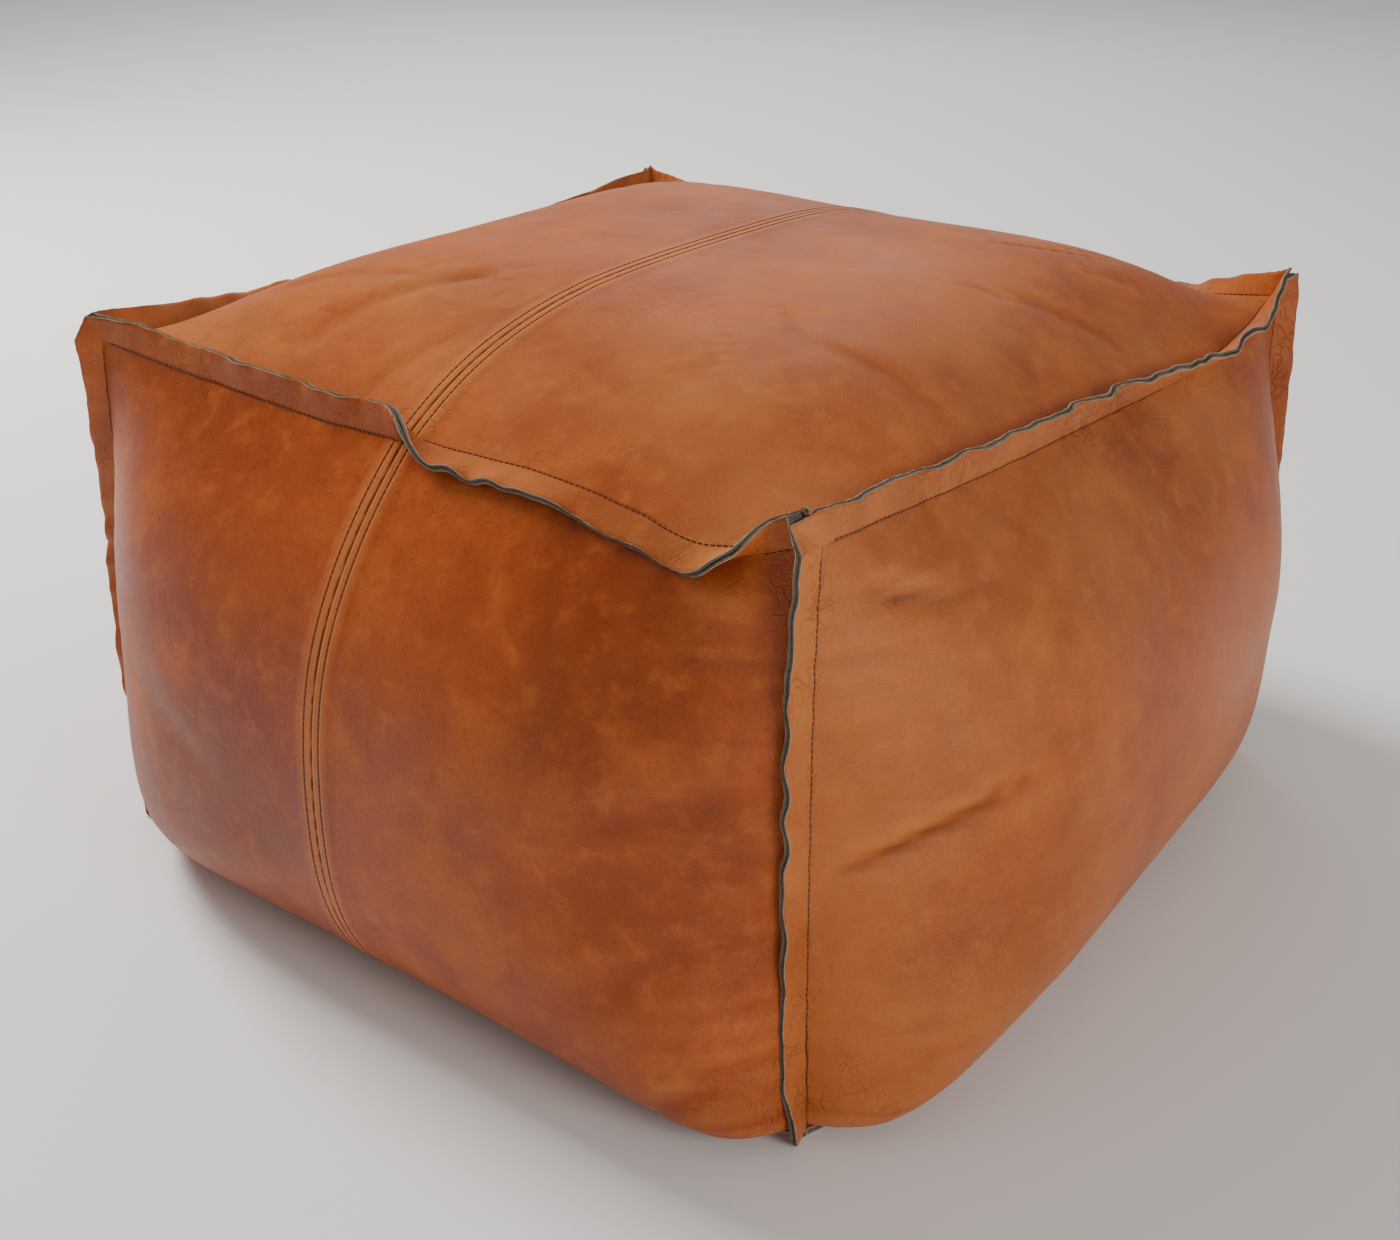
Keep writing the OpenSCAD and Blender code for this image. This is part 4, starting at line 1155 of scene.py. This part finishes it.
def cotton():
    material, tree, skin = new_material("bag_cotton")
    n = Nodes(tree)
    place = n.add("TexCoord").outputs["Object"]
    warp = n.add("TexWave", {"Vector": place, "Scale": 260.0, "Distortion": 0.6},
                 wave_type="BANDS", bands_direction="X").outputs["Fac"]
    weft = n.add("TexWave", {"Vector": place, "Scale": 260.0, "Distortion": 0.6},
                 wave_type="BANDS", bands_direction="Y").outputs["Fac"]
    rise = n.add("TexWave", {"Vector": place, "Scale": 260.0, "Distortion": 0.6},
                 wave_type="BANDS", bands_direction="Z").outputs["Fac"]
    weave = n.math("ADD", n.math("MULTIPLY", warp, weft), n.math("MULTIPLY", rise, 0.5))
    slubs = n.noise(place, 90.0, 4.0, 0.7)
    tone = n.blend(n.spread(weave, 0.1, 1.0), (0.56, 0.50, 0.40, 1), (0.78, 0.73, 0.62, 1))
    tone = n.blend(n.spread(slubs, 0.5, 0.75, 0.0, 0.4), tone, (0.50, 0.43, 0.32, 1))
    tree.links.new(tone, skin.inputs["Base Color"])
    skin.inputs["Roughness"].default_value = 0.9
    bump = n.add("Bump", {"Height": weave, "Strength": 0.5, "Distance": 0.0004})
    tree.links.new(bump.outputs["Normal"], skin.inputs["Normal"])
    return material


def cotton_waste():
    material, tree, skin = new_material("stuffing")
    n = Nodes(tree)
    place = n.add("TexCoord").outputs["Object"]
    tufts = n.noise(place, 55.0, 6.0, 0.75, 1.2)
    fibres = n.noise(place, 700.0, 3.0, 0.8)
    tone = n.blend(n.spread(tufts, 0.35, 0.65), (0.62, 0.60, 0.55, 1), (0.86, 0.85, 0.81, 1))
    tone = n.blend(n.spread(tufts, 0.62, 0.7, 0.0, 0.5), tone, (0.36, 0.42, 0.50, 1))
    tree.links.new(tone, skin.inputs["Base Color"])
    skin.inputs["Roughness"].default_value = 0.95
    bump = n.add("Bump", {"Height": n.math("ADD", tufts, n.math("MULTIPLY", fibres, 0.2)),
                          "Strength": 0.8, "Distance": 0.004})
    tree.links.new(bump.outputs["Normal"], skin.inputs["Normal"])
    return material


def bag_surface(inset):
    """Points and outward quads of the closed surface that lies inset inside the leather."""
    grids = {face: grid[::2, ::2] for face, grid in skins.items()}
    front, back, left, right = (grids[face][:, 0] for face in ("front", "back", "left", "right"))
    share = np.linspace(0, 1, len(front))[:, None, None]
    floor_grid = (1 - share) * front[None] + share * back[::-1][None]
    floor_grid = floor_grid.transpose(1, 0, 2)[:, ::-1]
    floor_grid[0], floor_grid[-1] = left[:, :], right[::-1]
    floor_grid[:, 0], floor_grid[:, -1] = back[::-1], front
    grids["base"] = floor_grid
    stacked = np.concatenate([grid.reshape(-1, 3) for grid in grids.values()])
    _, first, joined = np.unique(np.round(stacked / 1e-5).astype(int), axis=0,
                                 return_index=True, return_inverse=True)
    joined, points = joined.ravel(), stacked[first]
    quads, start = [], 0
    for grid in grids.values():
        numbers = joined[start:start + grid.shape[0] * grid.shape[1]].reshape(grid.shape[:2])
        quads.append(lattice_faces(numbers))
        start += numbers.size
    quads = np.concatenate(quads)
    a, b, c, d = (points[quads[:, k]] for k in range(4))
    facing = unit(np.cross(c - a, d - b))
    total = np.zeros_like(points)
    for k in range(4):
        np.add.at(total, quads[:, k], facing)
    points = points - unit(total) * (inset * 1.25)
    arch = ZIP_ARCH * np.exp(-(points[:, 1] / (26 * MM)) ** 2)
    lowest = BAG_FLOOR + (inset - BAG_SLACK) + arch
    points[:, 2] = np.maximum(points[:, 2], lowest)
    return points, quads


outside, bag_quads = bag_surface(BAG_SLACK)
inside, _ = bag_surface(BAG_SLACK + BAG_T)
bag = new_piece("cotton_bag", np.concatenate([outside, inside]),
                np.concatenate([bag_quads, bag_quads[:, ::-1] + len(outside)]))
wadding_points, _ = bag_surface(BAG_SLACK + BAG_T + 0.3 * MM)
wadding = new_piece("cotton_wadding", wadding_points, bag_quads)
for piece, material, slot, node in ((bag, cotton(), "bag_cotton", "inner_bag"),
                                    (wadding, cotton_waste(), "stuffing", "filling")):
    piece.data.materials.append(material)
    piece.data.polygons.foreach_set("use_smooth", np.ones(len(piece.data.polygons), bool))
    finish_piece(piece, "cover", slot, node)

# ---------------------------------------------------------------------------------------------
# The zip's tapes: dark brown twill, sewn inside the lips, with a woven cord at the inner edge.
# ---------------------------------------------------------------------------------------------


def zip_twill():
    material, tree, skin = new_material("zip_twill")
    n = Nodes(tree)
    place = n.add("TexCoord").outputs["Object"]
    ribs = n.add("TexWave", {"Vector": place, "Scale": 330.0, "Distortion": 0.4},
                 wave_type="BANDS", bands_direction="DIAGONAL").outputs["Fac"]
    fluff = n.noise(place, 800.0, 3.0, 0.7)
    tone = n.blend(ribs, (0.020, 0.010, 0.006, 1), (0.070, 0.036, 0.022, 1))
    tone = n.blend(n.spread(fluff, 0.55, 0.75, 0.0, 0.4), tone, (0.11, 0.065, 0.042, 1))
    tree.links.new(tone, skin.inputs["Base Color"])
    skin.inputs["Roughness"].default_value = 0.85
    bump = n.add("Bump", {"Height": ribs, "Strength": 0.6, "Distance": 0.0003})
    tree.links.new(bump.outputs["Normal"], skin.inputs["Normal"])
    return material


TWILL = zip_twill()


def cube(name, low, high):
    """A box between two corners, in edit mode."""
    bpy.ops.object.select_all(action="DESELECT")
    bpy.ops.mesh.primitive_cube_add(size=1, location=(0, 0, 0))
    piece = bpy.context.object
    piece.name = name
    bpy.ops.object.mode_set(mode="EDIT")
    bpy.ops.mesh.select_all(action="SELECT")
    low, high = np.array(low), np.array(high)
    bpy.ops.transform.resize(value=tuple(high - low), center_override=(0, 0, 0))
    bpy.ops.transform.translate(value=tuple((low + high) / 2))
    return piece


def joined_cube(low, high):
    """Adds another box to the piece in edit mode, and leaves the new box selected."""
    bpy.ops.mesh.select_all(action="DESELECT")
    bpy.ops.mesh.primitive_cube_add(size=1, location=(0, 0, 0))
    low, high = np.array(low), np.array(high)
    bpy.ops.transform.resize(value=tuple(high - low), center_override=(0, 0, 0))
    bpy.ops.transform.translate(value=tuple((low + high) / 2))


def bevelled(piece, width, segments=2):
    """Leaves edit mode, rounds the edges of the piece and smooths it."""
    bpy.ops.object.mode_set(mode="OBJECT")
    bevel = piece.modifiers.new("Bevel", "BEVEL")
    bevel.width, bevel.segments, bevel.limit_method = width, segments, "ANGLE"
    bpy.ops.object.modifier_apply(modifier="Bevel")
    bpy.ops.object.shade_smooth_by_angle(angle=math.radians(40))


for name in ("zip_tape_front", "zip_tape_back"):
    low, high = map(np.array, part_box(name))
    tape = cube(name + "_twill", low, high)
    side = -1 if high[1] < 0 else 1
    cord_y = (high[1] if side < 0 else low[1]) + side * 0.7 * MM
    joined_cube((low[0], cord_y - 0.6 * MM, low[2] - 0.25 * MM),
                (high[0], cord_y + 0.6 * MM, high[2] + 0.25 * MM))
    bevelled(tape, 0.2 * MM)
    tape.data.materials.append(TWILL)
    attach(tape, "cover")
    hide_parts(name)

# ---------------------------------------------------------------------------------------------
# The zip's metal: two rows of brass teeth, their stops, the slider with its bail, and the flat
# pull that hangs from the bail. All are cast or stamped, tumbled, and dulled by handling.
# ---------------------------------------------------------------------------------------------


def aged_brass():
    material, tree, metal = new_material("aged_brass")
    n = Nodes(tree)
    place = n.add("TexCoord").outputs["Object"]
    tarnish = n.noise(place, 350.0, 4.0, 0.65)
    scuffs = n.noise(place, 1800.0, 2.0, 0.8)
    tone = n.blend(n.spread(tarnish, 0.4, 0.66), (0.46, 0.30, 0.11, 1), (0.25, 0.155, 0.062, 1))
    tree.links.new(tone, metal.inputs["Base Color"])
    metal.inputs["Metallic"].default_value = 1.0
    tree.links.new(n.spread(tarnish, 0.3, 0.7, 0.24, 0.52), metal.inputs["Roughness"])
    bump = n.add("Bump", {"Height": scuffs, "Strength": 0.25, "Distance": 0.0001})
    tree.links.new(bump.outputs["Normal"], metal.inputs["Normal"])
    return material


BRASS = aged_brass()
TOOTH_PITCH = 2.5 * MM


def finish_metal(piece, body, node):
    piece.data.materials.append(BRASS)
    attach(piece, body)
    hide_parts(node)


for name in ("zip_teeth_front", "zip_teeth_back"):
    low, high = map(np.array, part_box(name))
    side = -1 if (low[1] + high[1]) < 0 else 1
    tip_y, root_y = (high[1], low[1]) if side < 0 else (low[1], high[1])
    first = low[0] + 0.1 * MM + (TOOTH_PITCH / 2 if side < 0 else 0)
    count = int((high[0] - first) / TOOTH_PITCH)
    ys = sorted((tip_y, root_y - side * 0.2 * MM))
    tooth = cube(name + "_brass", (first, ys[0], low[2]), (first + 1.1 * MM, ys[1], high[2]))
    bevelled(tooth, 0.28 * MM, 1)
    row = tooth.modifiers.new("Array", "ARRAY")
    row.use_relative_offset, row.use_constant_offset = False, True
    row.constant_offset_displace, row.count = (TOOTH_PITCH, 0, 0), count
    bpy.ops.object.modifier_apply(modifier="Array")
    bpy.ops.object.mode_set(mode="EDIT")
    ys = sorted((root_y, root_y - side * 1.5 * MM))
    joined_cube((low[0], ys[0], low[2] + 0.7 * MM), (high[0], ys[1], high[2] - 0.7 * MM))
    bpy.ops.object.mode_set(mode="OBJECT")
    finish_metal(tooth, "cover", name)

for name in ("zip_bottom_stop", "zip_top_stops"):
    low, high = map(np.array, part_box(name))
    if name == "zip_bottom_stop":
        stop = cube(name + "_brass", low, high)
    else:
        stop = cube(name + "_brass", (low[0], 0.8 * MM, low[2]), high)
        joined_cube(low, (high[0], -0.8 * MM, high[2]))
    bevelled(stop, 0.4 * MM)
    finish_metal(stop, "cover", name)



def narrowed(piece, x, share):
    """Narrows the end of the piece at x to a share of its width, from and to edit mode."""
    bpy.ops.mesh.select_all(action="DESELECT")
    bpy.ops.object.mode_set(mode="OBJECT")
    for point in piece.data.vertices:
        point.select = abs(point.co.x - x) < 0.01 * MM
    bpy.ops.object.mode_set(mode="EDIT")
    bpy.ops.transform.resize(value=(1, share, 1), center_override=(x, 0, 0))


# The slider: two plates on the wedge that parts the teeth, guide walls for the tapes, and
# beneath them the bail that the pull hangs from
PLATE_T, SLIDER_DEPTH = 1.0 * MM, 5.2 * MM
WEDGE_START, WEDGE_HALF = 2.4 * MM, 1.1 * MM
WALL_T, WALL_HIGH = 0.7 * MM, 1.3 * MM
BAIL_T, BAIL_REACH = 0.8 * MM, 4.2 * MM
low, high = map(np.array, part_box("zip_slider"))
middle = (low[0] + high[0]) / 2
plate_z = high[2] - SLIDER_DEPTH
slider = cube("zip_slider_brass", (low[0], low[1], high[2] - PLATE_T), high)
joined_cube((low[0], low[1], plate_z), (high[0], high[1], plate_z + PLATE_T))
bpy.ops.mesh.select_all(action="SELECT")
bpy.ops.mesh.subdivide(number_cuts=1)
narrowed(slider, low[0], 0.77)
narrowed(slider, high[0], 0.68)
joined_cube((middle + WEDGE_START, -WEDGE_HALF, plate_z + 0.2 * MM),
            (high[0] - 0.2 * MM, WEDGE_HALF, high[2]))
for y in (low[1] + 0.4 * MM, high[1] - 0.4 * MM - WALL_T):
    for z in (plate_z + PLATE_T - 0.2 * MM, high[2] - PLATE_T + 0.2 * MM - WALL_HIGH):
        joined_cube((middle - 3.5 * MM, y, z), (middle + 3 * MM, y + WALL_T, z + WALL_HIGH))
for x in (middle - BAIL_REACH, middle + BAIL_REACH - 1 * MM):
    joined_cube((x, -BAIL_T, low[2]), (x + 1 * MM, BAIL_T, plate_z + 0.3 * MM))
joined_cube((middle - BAIL_REACH, -BAIL_T, low[2]), (middle + BAIL_REACH, BAIL_T, low[2] + BAIL_T))
bevelled(slider, 0.22 * MM)
finish_metal(slider, "slider", "zip_slider")

# The pull: a flat tag, narrower at its end, with a window that clears the bail, a small hole,
# and the pin that it turns on
WINDOW_LONG, WINDOW_HALF, HOLE_R = 5.2 * MM, 1.3 * MM, 1.2 * MM
low, high = map(np.array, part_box("zip_pull"))
PIN_R, PIN_LONG = (high[2] - low[2]) / 2, 4.8 * MM
hinge_x, hinge_z = high[0] - PIN_R, (low[2] + high[2]) / 2
pull = cube("zip_pull_brass", low, (hinge_x, high[1], high[2]))
bpy.ops.mesh.subdivide(number_cuts=3)
narrowed(pull, low[0], 0.5)
bpy.ops.object.mode_set(mode="OBJECT")
cutter = cube("cutter", (hinge_x - WINDOW_LONG, -WINDOW_HALF, low[2] - MM),
              (high[0] + MM, WINDOW_HALF, high[2] + MM))
bpy.ops.mesh.primitive_cylinder_add(vertices=24, radius=HOLE_R, depth=4 * MM,
                                    location=(low[0] + 4 * MM, 0, hinge_z))
bpy.ops.object.mode_set(mode="OBJECT")
bpy.context.view_layer.objects.active = pull
window = pull.modifiers.new("Boolean", "BOOLEAN")
window.operation, window.object = "DIFFERENCE", cutter
bpy.ops.object.modifier_apply(modifier="Boolean")
bpy.data.objects.remove(cutter)
bpy.ops.object.select_all(action="DESELECT")
pull.select_set(True)
bpy.ops.object.mode_set(mode="EDIT")
bpy.ops.mesh.select_all(action="DESELECT")
bpy.ops.mesh.primitive_cylinder_add(vertices=24, radius=PIN_R, depth=PIN_LONG,
                                    location=(hinge_x, 0, hinge_z),
                                    rotation=(math.pi / 2, 0, 0))
bevelled(pull, 0.15 * MM)
finish_metal(pull, "pull", "zip_pull")
